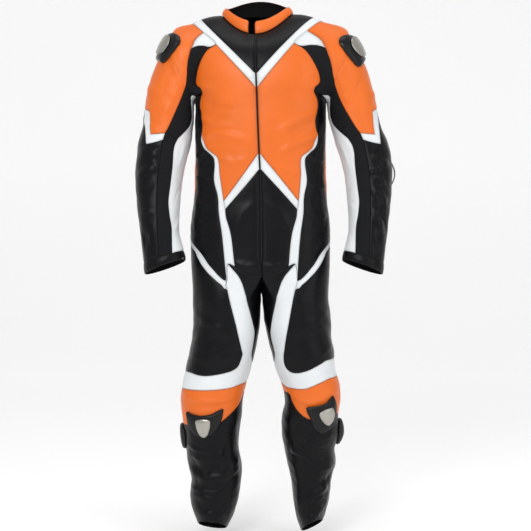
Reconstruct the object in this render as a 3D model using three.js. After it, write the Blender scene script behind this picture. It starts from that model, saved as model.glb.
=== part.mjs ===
// Motorcycle race suit: a one-piece leather suit, held open in the shape in which it is worn.
// Millimetres, +Z up, +Y to the back. The origin is the centre of the neck seam.
// X points to the wearer's left, so side +1 is the wearer's left and side -1 the right.
import * as THREE from 'three';

// Sewing sizes
const LEATHER = 2;
const CLOTH = 1.6;
const SEAM_GAP = 0.4;
const HALF_FACET = 17;
const FACET = 34;
const SEAM_STEP = 27.2;
const CUFF_FACET = 30;
const FOLD_FACET = 24;
const FINE_FACET = 14;
const ZIP_HALF = 2.2;
const ZIP_END = -628;
const NECK = 22;
const COLLAR_HEIGHT = 38;
const COLLAR_FOOT = 37;
const COLLAR_GAP = 8;
const CORNER = { turn: 4, deep: 8 };
const LINING_INSET = 2.4;
const LINING_GAP = 1;

// Hard guards, measured out from the cloth under them
const GUARD_LIFT = 1.1;
const SHOULDER_LIFT = 1.4;
const CUP_EDGE = 5;
const CUP_CROWN = 11;
const CUP_REACH = 9;
const INSERT_EDGE = 1.5;
const INSERT_RISE = 5;
const INSERT_REACH = 8;
const INSERT_GAPS = { shoulder: 0.9, knee: 0.52 };
const SLIDER = { turn: -4, wide: 22, tall: 36, corners: 16, edge: 6, crown: 13, reach: 10 };
const LOOP = { turn: -8, half: 4, from: 352, to: 412, lift: 0.5, bow: 8, step: 8 };

// Body of the suit: at is the depth below the neck seam on the centre front
const BODY_COLUMNS = ['at', 'side', 'front', 'back', 'half', 'fore', 'aft', 'square'];
const BODY = [
  [22, 40, -22, 48, 96, 64, 60, 2.0],
  [40, 37, -40, 32, 124, 84, 84, 2.1],
  [62, 29, -62, 6, 153, 100, 102, 2.3],
  [90, 15, -90, -30, 178, 110, 112, 2.5],
  [125, -40, -125, -85, 190, 117, 118, 2.6],
  [160, -110, -160, -140, 190, 118, 119, 2.6],
  [205, -190, -205, -200, 177, 117, 114, 2.5],
  [265, -265, -265, -265, 176, 116, 108, 2.4],
  [330, -330, -330, -330, 175, 112, 102, 2.35],
  [400, -400, -400, -400, 176, 106, 98, 2.3],
  [460, -460, -460, -460, 179, 104, 100, 2.3],
  [520, -520, -520, -520, 186, 104, 106, 2.35],
  [580, -580, -580, -580, 189, 104, 114, 2.4],
  [640, -640, -640, -640, 189, 104, 118, 2.4],
  [700, -700, -700, -700, 184, 104, 116, 2.4],
];

// The chest is turned a little to the wearer's right, the hips a little to the left
const TWIST_COLUMNS = ['at', 'degrees', 'shift'];
const TWIST = [
  [0, -5.6, -8],
  [40, -5.6, -6],
  [140, -5.6, 0],
  [330, -2, 0],
  [450, 1, 0],
  [640, 2, 0],
  [800, 2, 6],
];

// Raglan seam on the body, where the sleeve is sewn on: turn goes round the sleeve
const RAGLAN_COLUMNS = ['turn', 'bodyTurn', 'bodyAt'];
const RAGLAN_FRONT = [
  [38, 138, -16],
  [64, 104, -51],
  [78, 130, -69],
  [94, 150, -98],
  [117, 165, -146],
  [125, 158, -160],
  [130, 150, -166],
  [136, 149, -180],
];
const RAGLAN_BACK = [
  [180, 90, 205],
  [205, 110, 207],
  [225, 130, 198],
  [253, 144, 165],
  [288, 140, 130],
  [314, 125, 105],
  [341, 105, 93],
  [360, 90, 90],
];

// Top seam of a leg on the body: the curved hip seam in front, the seat seam behind
const HIP_FRONT = [
  [33, 163, -600],
  [55, 136, -638],
  [80, 93, -676],
  [92, 89, -632],
  [97, 71, -638],
  [114, 36, -656],
  [125, 12, -661],
];
const HIP_BACK = [
  [232, 180, 640],
  [262, 150, 632],
  [300, 120, 610],
  [330, 105, 582],
  [345, 97, 570],
  [360, 90, 556],
];
const CROTCH = { from: 130, to: 232, front: -104, back: 118, frontZ: -662, backZ: -640, dip: 45 };

// Sleeve rings: the outer and inner edge of the arm, its centre line and its half depth
const SLEEVE_COLUMNS = ['at', 'outX', 'outZ', 'inX', 'inZ', 'y', 'deep'];
const SLEEVE = [
  [45, 236, -8, 180, -203, 0, 84],
  [110, 276, -85, 181, -222, 0, 80],
  [165, 299, -151, 182, -240, -2, 76],
  [215, 312, -215, 185, -258, -6, 74],
  [262, 320, -264, 189, -277, -8, 74],
  [305, 335, -306, 195, -310, -12, 72],
  [365, 343, -372, 211, -366, -22, 68],
  [418, 342, -425, 219, -416, -32, 64],
  [482, 335, -495, 224, -480, -46, 60],
  [548, 325, -565, 225, -545, -60, 55],
  [590, 318, -628, 212, -597, -68, 51],
  [632, 315, -659, 207, -622, -72, 50],
];
const CUFF_TOP = 590;
const CUFF_END = 632;
const CUFF_TILT = { by: 6, from: 560 };
const ARM_SHIFT = { from: -190, to: -350, by: 9 };

// Leg rings: outer and inner edge for the wearer's right and left leg
const LEG_COLUMNS = ['at', 'z', 'outR', 'inR', 'outL', 'inL', 'y', 'deep'];
const LEG = [
  [75, -740, 185, 3, 181, 3, 2, 104],
  [118, -783, 186, 7, 184, 5, 2, 102],
  [161, -826, 189, 13, 184, 13, 0, 99],
  [205, -870, 197, 21, 192, 24, -2, 96],
  [248, -913, 207, 32, 195, 35, -3, 92],
  [291, -956, 216, 45, 207, 51, -5, 89],
  [334, -999, 220, 54, 208, 60, -6, 87],
  [377, -1042, 216, 57, 203, 52, -5, 84],
  [420, -1085, 210, 64, 206, 52, -2, 81],
  [463, -1128, 206, 65, 194, 59, 4, 78],
  [506, -1171, 201, 57, 196, 68, 9, 75],
  [550, -1215, 192, 58, 184, 78, 11, 71],
  [593, -1258, 196, 65, 181, 83, 10, 66],
  [636, -1301, 188, 78, 173, 91, 8, 60],
  [673, -1338, 175, 97, 162, 104, 6, 55],
];
const HEM = 673;
const HEM_TILT = { front: 18, right: 5, left: 13, from: 540 };

// The largest folds: how far each rises, how wide it is, and its path as seen from the front
const SLEEVE_FOLDS = [
  { side: 1, deep: 5, wide: 11, path: [[292, -352], [312, -366], [330, -372]] },
  { side: 1, deep: 5, wide: 10, path: [[288, -398], [306, -408], [318, -430]] },
  { side: 1, deep: 5, wide: 10, path: [[290, -428], [310, -452], [322, -480]] },
  { side: 1, deep: 4, wide: 10, path: [[288, -486], [300, -520], [312, -556]] },
  { side: -1, deep: 5, wide: 11, path: [[272, -352], [296, -338], [330, -330]] },
  { side: -1, deep: 4, wide: 12, path: [[282, -372], [310, -388], [334, -400]] },
  { side: -1, deep: -5, wide: 14, path: [[300, -560], [318, -572]] },
];
const LEG_FOLDS = [
  { side: -1, deep: 7, wide: 13, path: [[186, -1190], [145, -1203], [109, -1196], [76, -1172], [66, -1150]] },
  { side: -1, deep: -7, wide: 15, path: [[194, -1168], [150, -1178], [112, -1170]] },
  { side: -1, deep: 5, wide: 11, path: [[142, -1160], [116, -1150], [102, -1126]] },
  { side: -1, deep: 5, wide: 13, path: [[176, -1248], [140, -1256], [112, -1268]] },
  { side: -1, deep: 4, wide: 12, path: [[160, -1300], [130, -1308], [100, -1296]] },
  { side: 1, deep: 6, wide: 12, path: [[78, -1122], [104, -1140], [130, -1158]] },
  { side: 1, deep: 6, wide: 12, path: [[106, -1098], [128, -1118], [150, -1144]] },
  { side: 1, deep: 6, wide: 13, path: [[178, -1220], [150, -1236], [112, -1266]] },
  { side: 1, deep: -6, wide: 14, path: [[186, -1200], [150, -1212]] },
  { side: 1, deep: 5, wide: 11, path: [[164, -1290], [140, -1306], [112, -1312]] },
];

// Knots round the seams where three pieces meet
const ARM = { gusset: 38, stripe: 64, chest: 136, inner: 156, innerBack: 205, yoke: 325 };
const LEG_TOP = { hipEnd: -15, side: 80, notch: 92, belly: 97, middle: 130, seat: 200, back: 232 };
const LEG_BACK = { outer: -20, seam: -160, bandTop: 236, bandEnd: 286, kneeEnd: 312 };
const ARM_BACK = -155;
const LEG_SEAM = { turn: 200, lead: 168, near: 172 };
const BAND_LEAD = 8;
const KNEE_LEAD = 4;
const KNEE_SIDE = [-90, 375];
const HIP_STRIPE_END = 22;
const BACK_ELBOW = 250;
const WAIST = 480;
const WAIST_SIDE = 93;
const YOKE_BACK = 128;
const YOKE_BACK_TURN = 160;

const COLOURS = {
  orange: [0xe2713b, 0.45, 0],
  white: [0xe6ebee, 0.45, 0],
  leather: [0x17181c, 0.35, 0],
  stretch: [0x0e0f12, 0.9, 0],
  cup: [0x1c1c1e, 0.4, 0],
  metal: [0xa9a79f, 0.3, 0.9],
  lining: [0x050506, 0.95, 0],
};

// How a tube's section is squared, and millimetres to a degree of turn on each surface
const SQUARED = 0.92;
const ARM_SCALE = 1.15;
const LEG_SCALE = 1.5;
const BODY_SCALE = 2.4;
const SEAM_SCALE = 2;
const COLLAR_SCALE = 1.5;

// Nets: rows of points stand as in even triangles, clear of the outline and of each other
const ROW_RATIO = 0.87;
const RIM_CLEAR = 0.55;
const RING_STEP = 12;
const RING_CLEAR = 4;
const CORNER_LEAST = 0.4;
const FOLD_FADE = { rate: 4, least: 0.25 };
const SEARCH = { turns: 24, ats: 40, least: 0.01 };
const TURN_RANGE = [-8, 188];

const rad = THREE.MathUtils.degToRad;
const lerp = THREE.MathUtils.lerp;
const power = (value, exponent) => Math.sign(value) * Math.abs(value) ** exponent;

// A table read at any value of its first column, on a smooth curve through its rows
function reader(columns, rows) {
  const slope = (i, c) => {
    const a = rows[Math.max(i - 1, 0)];
    const b = rows[Math.min(i + 1, rows.length - 1)];
    return (b[c] - a[c]) / (b[0] - a[0]);
  };
  return (at) => {
    let i = 0;
    while (i < rows.length - 2 && at > rows[i + 1][0]) i += 1;
    const [p, q] = [rows[i], rows[i + 1]];
    const h = q[0] - p[0];
    const t = THREE.MathUtils.clamp((at - p[0]) / h, 0, 1);
    const [t2, t3] = [t * t, t * t * t];
    return Object.fromEntries(columns.map((name, c) => [name,
      (2 * t3 - 3 * t2 + 1) * p[c] + (t3 - 2 * t2 + t) * h * slope(i, c)
      + (3 * t2 - 2 * t3) * q[c] + (t3 - t2) * h * slope(i + 1, c)]));
  };
}

const bodyRow = reader(BODY_COLUMNS, BODY);
const twistRow = reader(TWIST_COLUMNS, TWIST);
const sleeveRow = reader(SLEEVE_COLUMNS, SLEEVE);
const legRow = reader(LEG_COLUMNS, LEG);

// Side 0 is the even form between left and right, on which front sizes are measured
function turned(point, side) {
  if (side === 0) return point;
  const { degrees, shift } = twistRow(THREE.MathUtils.clamp(-point.z, 0, 800));
  point.x *= side;
  point.applyAxisAngle(new THREE.Vector3(0, 0, 1), rad(degrees));
  point.x += shift;
  return point;
}

// Every surface gives a point for a turn in degrees and a distance down it
function surface(point, hand) {
  const normal = (turn, at, side) => {
    const across = point(turn + 1, at, side).sub(point(turn - 1, at, side));
    const down = point(turn, at + 3, side).sub(point(turn, Math.max(at - 3, 0), side));
    return across.cross(down).multiplyScalar(hand * (side || 1)).normalize();
  };
  return { point, normal };
}

function bodyPoint(turn, at, side) {
  const row = bodyRow(at);
  const [c, s] = [Math.cos(rad(turn)), Math.sin(rad(turn))];
  const end = c > 0 ? row.front : row.back;
  const deep = c > 0 ? row.fore : row.aft;
  const x = row.half * power(s, 2 / row.square);
  const y = -deep * power(c, 2 / row.square);
  return turned(new THREE.Vector3(x, y, row.side + (end - row.side) * c * c), side);
}
const body = surface(bodyPoint, -1);

// The turn and distance at which a surface shows at a place measured from the front
function onFront(form, x, z, turns, ats) {
  let best = [0, 0];
  let least = Infinity;
  let [du, dv] = [(turns[1] - turns[0]) / SEARCH.turns, (ats[1] - ats[0]) / SEARCH.ats];
  const miss = (u, v) => {
    const p = form.point(u, v, 0);
    return (p.x - x) ** 2 + (p.z - z) ** 2;
  };
  for (let i = 0; i <= SEARCH.turns; i += 1) {
    for (let j = 0; j <= SEARCH.ats; j += 1) {
      const spot = [turns[0] + i * du, ats[0] + j * dv];
      const far = miss(...spot);
      if (far < least) [least, best] = [far, spot];
    }
  }
  while (du > SEARCH.least) {
    let better = false;
    for (const [a, b] of [[du, 0], [-du, 0], [0, dv], [0, -dv]]) {
      const spot = [
        THREE.MathUtils.clamp(best[0] + a, ...turns),
        THREE.MathUtils.clamp(best[1] + b, ...ats),
      ];
      const far = miss(...spot);
      if (far < least - 1e-9) {
        [least, best] = [far, spot];
        better = true;
      }
    }
    if (!better) [du, dv] = [du / 2, dv / 2];
  }
  return best;
}
const onBody = (x, z) => onFront(body, x, z, [0, 90], [NECK, 700]);

// The seam that a sleeve shares with the body, and the one that a leg shares with it
const raglan = reader(RAGLAN_COLUMNS, [
  [0, 90, 90],
  ...RAGLAN_FRONT.map(([turn, x, z]) => [turn, ...onBody(x, z)]),
  ...RAGLAN_BACK,
]);
const hipFront = reader(RAGLAN_COLUMNS, [
  [0, 90, 556],
  ...HIP_FRONT.map(([turn, x, z]) => [turn, ...onBody(x, z)]),
  [CROTCH.from, 0, -CROTCH.frontZ],
]);
const hipBack = reader(RAGLAN_COLUMNS, HIP_BACK);
const hip = (turn) => (turn <= CROTCH.from ? hipFront(turn) : hipBack(turn));
const wrap = (turn) => THREE.MathUtils.euclideanModulo(turn, 360);
const onSeam = (seam, turn) => {
  const { bodyTurn, bodyAt } = seam(wrap(turn));
  return [bodyTurn, bodyAt];
};
const inCrotch = (turn) => wrap(turn) > CROTCH.from && wrap(turn) < CROTCH.to;

function crotchPoint(turn, side) {
  const t = (wrap(turn) - CROTCH.from) / (CROTCH.to - CROTCH.from);
  const z = lerp(CROTCH.frontZ, CROTCH.backZ, t) - CROTCH.dip * Math.sin(Math.PI * t);
  return turned(new THREE.Vector3(0, lerp(CROTCH.front, CROTCH.back, t), z), side);
}

// Between the sewn-on ring and the first ring of the tube the cloth runs in a smooth curve
function tube(seamPoint, ringPoint, first) {
  return (turn, at, side) => {
    if (at >= first) return ringPoint(turn, at, side);
    const [from, to] = [seamPoint(turn, side), ringPoint(turn, first, side)];
    const t = Math.max(at, 0) / first;
    const away = to.clone().sub(from);
    const along = ringPoint(turn, first + 1, side).sub(to).multiplyScalar(first);
    const [t2, t3] = [t * t, t * t * t];
    return from.multiplyScalar(2 * t3 - 3 * t2 + 1)
      .addScaledVector(away, t3 - 2 * t2 + t)
      .addScaledVector(to, 3 * t2 - 2 * t3)
      .addScaledVector(along, t3 - t2);
  };
}

// Folds rise from the cloth along a path, soft to each side and fading at both ends
const folds = { sleeve: [], leg: [] };
function foldRise(list, scale, turn, at, side) {
  let rise = 0;
  for (const fold of list.filter((each) => each.side === side)) {
    let [near, along] = [Infinity, 0];
    for (let i = 1; i < fold.path.length; i += 1) {
      const [[au, av], [bu, bv]] = [fold.path[i - 1], fold.path[i]];
      const [eu, ev] = [(bu - au) * scale, bv - av];
      const du = (THREE.MathUtils.euclideanModulo(turn - au + 180, 360) - 180) * scale;
      const t = THREE.MathUtils.clamp((du * eu + (at - av) * ev) / (eu * eu + ev * ev), 0, 1);
      const far = Math.hypot(du - eu * t, at - av - ev * t);
      if (far < near) [near, along] = [far, (i - 1 + t) / (fold.path.length - 1)];
    }
    const ends = Math.min(1, along * FOLD_FADE.rate, (1 - along) * FOLD_FADE.rate);
    rise += fold.deep * Math.exp(-((near / fold.wide) ** 2)) * lerp(FOLD_FADE.least, 1, ends);
  }
  return rise;
}

function sleeveRing(turn, at, side) {
  const row = sleeveRow(at);
  const [c, s] = [power(Math.cos(rad(turn)), SQUARED), power(Math.sin(rad(turn)), SQUARED)];
  const rise = foldRise(folds.sleeve, ARM_SCALE, turn, at, side);
  const x = (row.outX + row.inX) / 2 + ((row.outX - row.inX) / 2 + rise) * c;
  const z = (row.outZ + row.inZ) / 2 + (row.outZ - row.inZ) / 2 * c;
  const low = THREE.MathUtils.smoothstep(-z, -ARM_SHIFT.from, -ARM_SHIFT.to);
  const shift = Math.abs(side) * ARM_SHIFT.by * low;
  const tilt = CUFF_TILT.by * s * THREE.MathUtils.smoothstep(at, CUFF_TILT.from, CUFF_END);
  return new THREE.Vector3((side || 1) * x + shift, row.y - (row.deep + rise) * s, z + tilt);
}
const sleeveRoot = (turn, side) => bodyPoint(...onSeam(raglan, turn), side);
const sleeve = surface(tube(sleeveRoot, sleeveRing, SLEEVE[0][0]), 1);

function legRing(turn, at, side) {
  const row = legRow(at);
  const mean = (right, left) => lerp(right, left, (side + 1) / 2);
  const [out, inner] = [mean(row.outR, row.outL), mean(row.inR, row.inL)];
  const [c, s] = [power(Math.cos(rad(turn)), SQUARED), power(Math.sin(rad(turn)), SQUARED)];
  const rise = foldRise(folds.leg, LEG_SCALE, turn, at, side);
  const x = (out + inner) / 2 + ((out - inner) / 2 + rise) * c;
  const shift = Math.abs(side) * twistRow(-row.z).shift;
  const raised = HEM_TILT.front * s + mean(HEM_TILT.right, HEM_TILT.left) * c;
  const z = row.z + raised * THREE.MathUtils.smoothstep(at, HEM_TILT.from, HEM);
  return new THREE.Vector3((side || 1) * x + shift, row.y - (row.deep + rise) * s, z);
}
const legRoot = (turn, side) => (
  inCrotch(turn) ? crotchPoint(turn, side) : bodyPoint(...onSeam(hip, turn), side));
const leg = surface(tube(legRoot, legRing, LEG[0][0]), 1);

// On a seam between two surfaces both pieces use the direction midway between the two
function shared(form, seam, turn) {
  const middle = form === leg && wrap(turn) >= CROTCH.from && wrap(turn) <= CROTCH.to;
  return (side) => {
    const own = form.normal(turn, 0, middle ? 1 : side);
    if (!inCrotch(turn) || form !== leg) own.add(body.normal(...onSeam(seam, turn), side));
    if (middle) own.x = 0;
    return own.normalize();
  };
}

// The collar stands on the neck seam and narrows to its top edge, low in front
const COLLAR_TOP = { half: 85, fore: 60, aft: 60, side: 60, front: 14, back: 88, slit: -6 };
const collar = surface((turn, at, side) => {
  const foot = bodyPoint(turn, NECK, 0);
  const [c, s] = [Math.cos(rad(turn)), Math.sin(rad(turn))];
  const end = c > 0 ? COLLAR_TOP.front : COLLAR_TOP.back;
  const deep = c > 0 ? COLLAR_TOP.fore : COLLAR_TOP.aft;
  const z = COLLAR_TOP.side + (end - COLLAR_TOP.side) * c * c;
  const top = new THREE.Vector3(COLLAR_TOP.half * s, -deep * c, z);
  return turned(foot.lerp(top, 1 - at / COLLAR_HEIGHT), side);
}, -1);

// Seams: lists of [turn, at] whose points serve both pieces that meet there
function subdivide(points, step) {
  const out = [points[0]];
  for (let i = 1; i < points.length; i += 1) {
    const [a, b] = [points[i - 1], points[i]];
    const count = Math.max(1, Math.ceil(Math.hypot(b[0] - a[0], b[1] - a[1]) / step));
    for (let k = 1; k <= count; k += 1) {
      out.push([lerp(a[0], b[0], k / count), lerp(a[1], b[1], k / count)]);
    }
  }
  return out;
}

// A seam between two knots through places measured from the front
function drawn(find, from, rows, to) {
  const line = subdivide([from.front, ...rows, to.front], SEAM_STEP);
  const inner = line.slice(1, -1).map(([x, z]) => find(x, z));
  return [from.spot, ...inner, to.spot];
}
const knot = (spot, form) => {
  const p = form.point(...spot, 0);
  return { spot, front: [p.x, p.z] };
};
const plain = (from, to, scale) => subdivide([from, to].map(([u, v]) => [u * scale, v]), FACET)
  .map(([u, v]) => [u / scale, v]);
const back = (seam) => [...seam].reverse();
const shifted = (seam, by) => seam.map(([turn, at, lean]) => [turn + by, at, lean]);
const mirrored = (seam) => seam.map(([turn, at, lean]) => [360 - turn, at, lean && ((side) => lean(-side))]);

// The ring where a tube is sewn on, from one turn to another, with a knot wherever pieces meet
function ringTurns(from, to, knots) {
  const marks = [];
  for (let turn = -360; turn <= 360; turn += RING_STEP) marks.push(turn);
  for (const value of Object.values(knots)) marks.push(value - 360, value, value + 360);
  const [low, high] = [Math.min(from, to), Math.max(from, to)];
  const turns = [...new Set(marks)].filter((turn) => turn > low && turn < high).sort((a, b) => a - b);
  const spaced = turns.filter((turn) => (
    Object.values(knots).some((k) => wrap(k) === wrap(turn))
    || !Object.values(knots).some((k) => Math.abs(wrap(k) - wrap(turn)) < RING_CLEAR)));
  const all = [low, ...spaced, high];
  return from < to ? all : all.reverse();
}
const armTurns = (from, to) => ringTurns(from, to, ARM);
const legTurns = (from, to) => ringTurns(from, to, LEG_TOP);
const armTop = (from, to) => armTurns(from, to).map((turn) => [turn, 0, shared(sleeve, raglan, turn)]);
const legTop = (from, to) => legTurns(from, to).map((turn) => [turn, 0, shared(leg, hip, turn)]);
const bodyArm = (from, to) => armTurns(from, to)
  .map((turn) => [...onSeam(raglan, turn), shared(sleeve, raglan, turn)]);
const bodyLeg = (from, to) => legTurns(from, to)
  .map((turn) => [...onSeam(hip, turn), shared(leg, hip, turn)]);

// Ears off the outline first, then the inner points, then edges turned until all are Delaunay
function triangulate(outline, inner) {
  const pts = [...outline, ...inner];
  const area = (a, b, c) => (pts[b][0] - pts[a][0]) * (pts[c][1] - pts[a][1])
    - (pts[b][1] - pts[a][1]) * (pts[c][0] - pts[a][0]);
  const holds = (a, b, c, p) => area(a, b, p) >= -1e-9 && area(b, c, p) >= -1e-9 && area(c, a, p) >= -1e-9;
  const triangles = [];
  const ring = outline.map((_, i) => i);
  while (ring.length > 3) {
    let best = -1;
    let widest = -Infinity;
    for (let i = 0; i < ring.length; i += 1) {
      const a = ring[(i + ring.length - 1) % ring.length];
      const b = ring[i];
      const c = ring[(i + 1) % ring.length];
      const size = area(a, b, c);
      if (size <= 1e-6) continue;
      if (ring.some((p) => p !== a && p !== b && p !== c && holds(a, b, c, p))) continue;
      const reach = Math.hypot(pts[a][0] - pts[c][0], pts[a][1] - pts[c][1]);
      const score = size / (reach * reach);
      if (score > widest) [widest, best] = [score, i];
    }
    if (best < 0) throw new Error('an outline crosses itself');
    const n = ring.length;
    triangles.push([ring[(best + n - 1) % n], ring[best], ring[(best + 1) % n]]);
    ring.splice(best, 1);
  }
  triangles.push([...ring]);
  for (let p = outline.length; p < pts.length; p += 1) {
    const i = triangles.findIndex(([a, b, c]) => holds(a, b, c, p));
    const [a, b, c] = triangles[i];
    triangles.splice(i, 1, [a, b, p], [b, c, p], [c, a, p]);
  }
  const circle = (a, b, c, d) => {
    const rows = [a, b, c].map((i) => [pts[i][0] - pts[d][0], pts[i][1] - pts[d][1]]);
    const [[ax, ay], [bx, by], [cx, cy]] = rows;
    const [aa, bb, cc] = rows.map(([x, y]) => x * x + y * y);
    return ax * (by * cc - bb * cy) - ay * (bx * cc - bb * cx) + aa * (bx * cy - by * cx);
  };
  for (let pass = 0; pass < 60; pass += 1) {
    const edges = new Map();
    let flips = 0;
    const touched = new Set();
    triangles.forEach((t, i) => t.forEach((v, k) => {
      edges.set(`${v},${t[(k + 1) % 3]}`, [i, t[(k + 2) % 3]]);
    }));
    for (const [key, [i, c]] of edges) {
      const [a, b] = key.split(',').map(Number);
      const other = edges.get(`${b},${a}`);
      if (!other || a > b || touched.has(i) || touched.has(other[0])) continue;
      const [j, d] = other;
      const convex = area(c, a, d) > 1e-6 && area(d, b, c) > 1e-6;
      if (!convex || circle(a, b, c, d) <= 1e-6) continue;
      triangles[i] = [c, a, d];
      triangles[j] = [d, b, c];
      touched.add(i).add(j);
      flips += 1;
    }
    if (!flips) break;
  }
  return triangles;
}

function inside(outline, [x, y]) {
  let odd = false;
  outline.forEach(([ax, ay], i) => {
    const [bx, by] = outline[(i + 1) % outline.length];
    if ((ay > y) !== (by > y) && x < ax + (bx - ax) * (y - ay) / (by - ay)) odd = !odd;
  });
  return odd;
}

function edgeDistance(outline, [x, y]) {
  return Math.min(...outline.map(([ax, ay], i) => {
    const [bx, by] = outline[(i + 1) % outline.length];
    const [ex, ey] = [bx - ax, by - ay];
    const t = THREE.MathUtils.clamp(((x - ax) * ex + (y - ay) * ey) / (ex * ex + ey * ey || 1), 0, 1);
    return Math.hypot(x - ax - ex * t, y - ay - ey * t);
  }));
}

const same = (a, b) => Math.hypot(a[0] - b[0], a[1] - b[1]) <= 0.05;
const suit = new THREE.Group();

// One sewn piece: its outline on a surface, closed to a wall between two heights over it
function piece(name, finish, form, seams, side, options = {}) {
  const { scale = BODY_SCALE, step = FACET, low = -LEATHER, high = 0, gap = SEAM_GAP / 2 } = options;
  let spots = [];
  for (const spot of seams.flat()) {
    const last = spots[spots.length - 1];
    if (!last || !same(spot, last)) spots.push(spot);
    else if (spot[2]) spots[spots.length - 1] = spot;
  }
  if (same(spots[0], spots.at(-1))) {
    const end = spots.pop();
    if (end[2]) spots[0] = end;
  }
  const flat = ([turn, at]) => [turn * scale, at];
  let outline = spots.map(flat);
  const signed = outline.reduce((sum, [x, y], i) => {
    const [nx, ny] = outline[(i + 1) % outline.length];
    return sum + x * ny - nx * y;
  }, 0);
  if (signed < 0) {
    spots = spots.reverse();
    outline = outline.reverse();
  }
  const inner = [];
  const [xs, ys] = [outline.map((p) => p[0]), outline.map((p) => p[1])];
  const [left, top] = [Math.min(...xs), Math.min(...ys)];
  for (let row = 0.5; top + row * step * ROW_RATIO < Math.max(...ys); row += 1) {
    for (let col = (row + 0.5) % 2 ? 0.5 : 1; left + col * step < Math.max(...xs); col += 1) {
      const spot = [left + col * step, top + row * step * ROW_RATIO];
      if (inside(outline, spot) && edgeDistance(outline, spot) > step * RIM_CLEAR) inner.push(spot);
    }
  }
  const faces = triangulate(outline, inner);
  const all = [...spots, ...inner.map(([x, y]) => [x / scale, y])];
  const points = all.map(([turn, at]) => form.point(turn, at, side));
  const normals = all.map(([turn, at, lean]) => (lean ? lean(side) : form.normal(turn, at, side)));
  const [fa, fb, fc] = faces[0].map((i) => points[i]);
  const facing = fb.clone().sub(fa).cross(fc.clone().sub(fa)).dot(normals[faces[0][0]]) > 0 ? 1 : -1;
  const n = outline.length;
  const moved = points.map((p, i) => {
    if (i >= n) return p;
    const into = (a, b) => normals[i].clone().cross(b.clone().sub(a)).multiplyScalar(facing).normalize();
    const one = into(points[(i + n - 1) % n], p);
    const two = into(p, points[(i + 1) % n]);
    const middle = one.clone().add(two).normalize();
    return p.clone().addScaledVector(middle, gap / Math.max(middle.dot(one), CORNER_LEAST));
  });
  const rim = (i) => (i < n ? 0 : edgeDistance(outline, inner[i - n]));
  const level = (value, i) => (typeof value === 'function' ? value(rim(i), all[i][1]) : value);
  const outer = moved.map((p, i) => p.clone().addScaledVector(normals[i], level(high, i)));
  const under = moved.map((p, i) => p.clone().addScaledVector(normals[i], level(low, i)));
  const count = all.length;
  const index = [];
  const face = (a, b, c) => index.push(...(facing > 0 ? [a, b, c] : [a, c, b]));
  faces.forEach(([a, b, c]) => {
    face(a, b, c);
    face(a + count, c + count, b + count);
  });
  for (let i = 0; i < n; i += 1) {
    const j = (i + 1) % n;
    if (points[i].z + points[i].y / 7 < points[j].z + points[j].y / 7) {
      face(i, i + count, j + count);
      face(i, j + count, j);
    } else {
      face(i, i + count, j);
      face(j, i + count, j + count);
    }
  }
  const geometry = new THREE.BufferGeometry();
  const flatList = [...outer, ...under].flatMap((p) => [p.x, p.y, p.z]);
  geometry.setAttribute('position', new THREE.Float32BufferAttribute(flatList, 3));
  geometry.setIndex(index);
  const [color, roughness, metalness] = COLOURS[finish];
  const mesh = new THREE.Mesh(geometry, new THREE.MeshStandardMaterial({ color, roughness, metalness }));
  mesh.name = name;
  suit.add(mesh);
}

const cloth = { low: -CLOTH };
const onArm = { scale: ARM_SCALE };
const onLeg = { scale: LEG_SCALE };
const SIDES = [['right', -1], ['left', 1]];

// Seams of the body
const zipTurn = (at) => {
  const row = bodyRow(at);
  return THREE.MathUtils.radToDeg(Math.asin((ZIP_HALF / row.half) ** (row.square / 2)));
};
const zipAt = (z) => [zipTurn(-z), -z];
const zipEdge = (fromZ, toZ) => subdivide([[0, -fromZ], [0, -toZ]], FACET).map(([, at]) => [zipTurn(at), at]);
const bodyKnot = (spot) => knot(spot, body);
const at = (x, z) => bodyKnot(onBody(x, z));
const ridge = { neck: [90, NECK], stripe: [90, 62], arm: [90, 90] };
const V_TOP = -133;
const V_LOW = -169;
const PEAK_TOP = -343;
const PEAK_LOW = -384;
const corner = {
  stripe: bodyKnot(onSeam(raglan, ARM.stripe)),
  chest: bodyKnot(onSeam(raglan, ARM.chest)),
  waist: at(154, -288),
  peakTop: at(99, -467),
  peakLow: at(95, -488),
  side: bodyKnot(onSeam(hip, LEG_TOP.side)),
  belly: bodyKnot(onSeam(hip, LEG_TOP.belly)),
};
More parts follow.
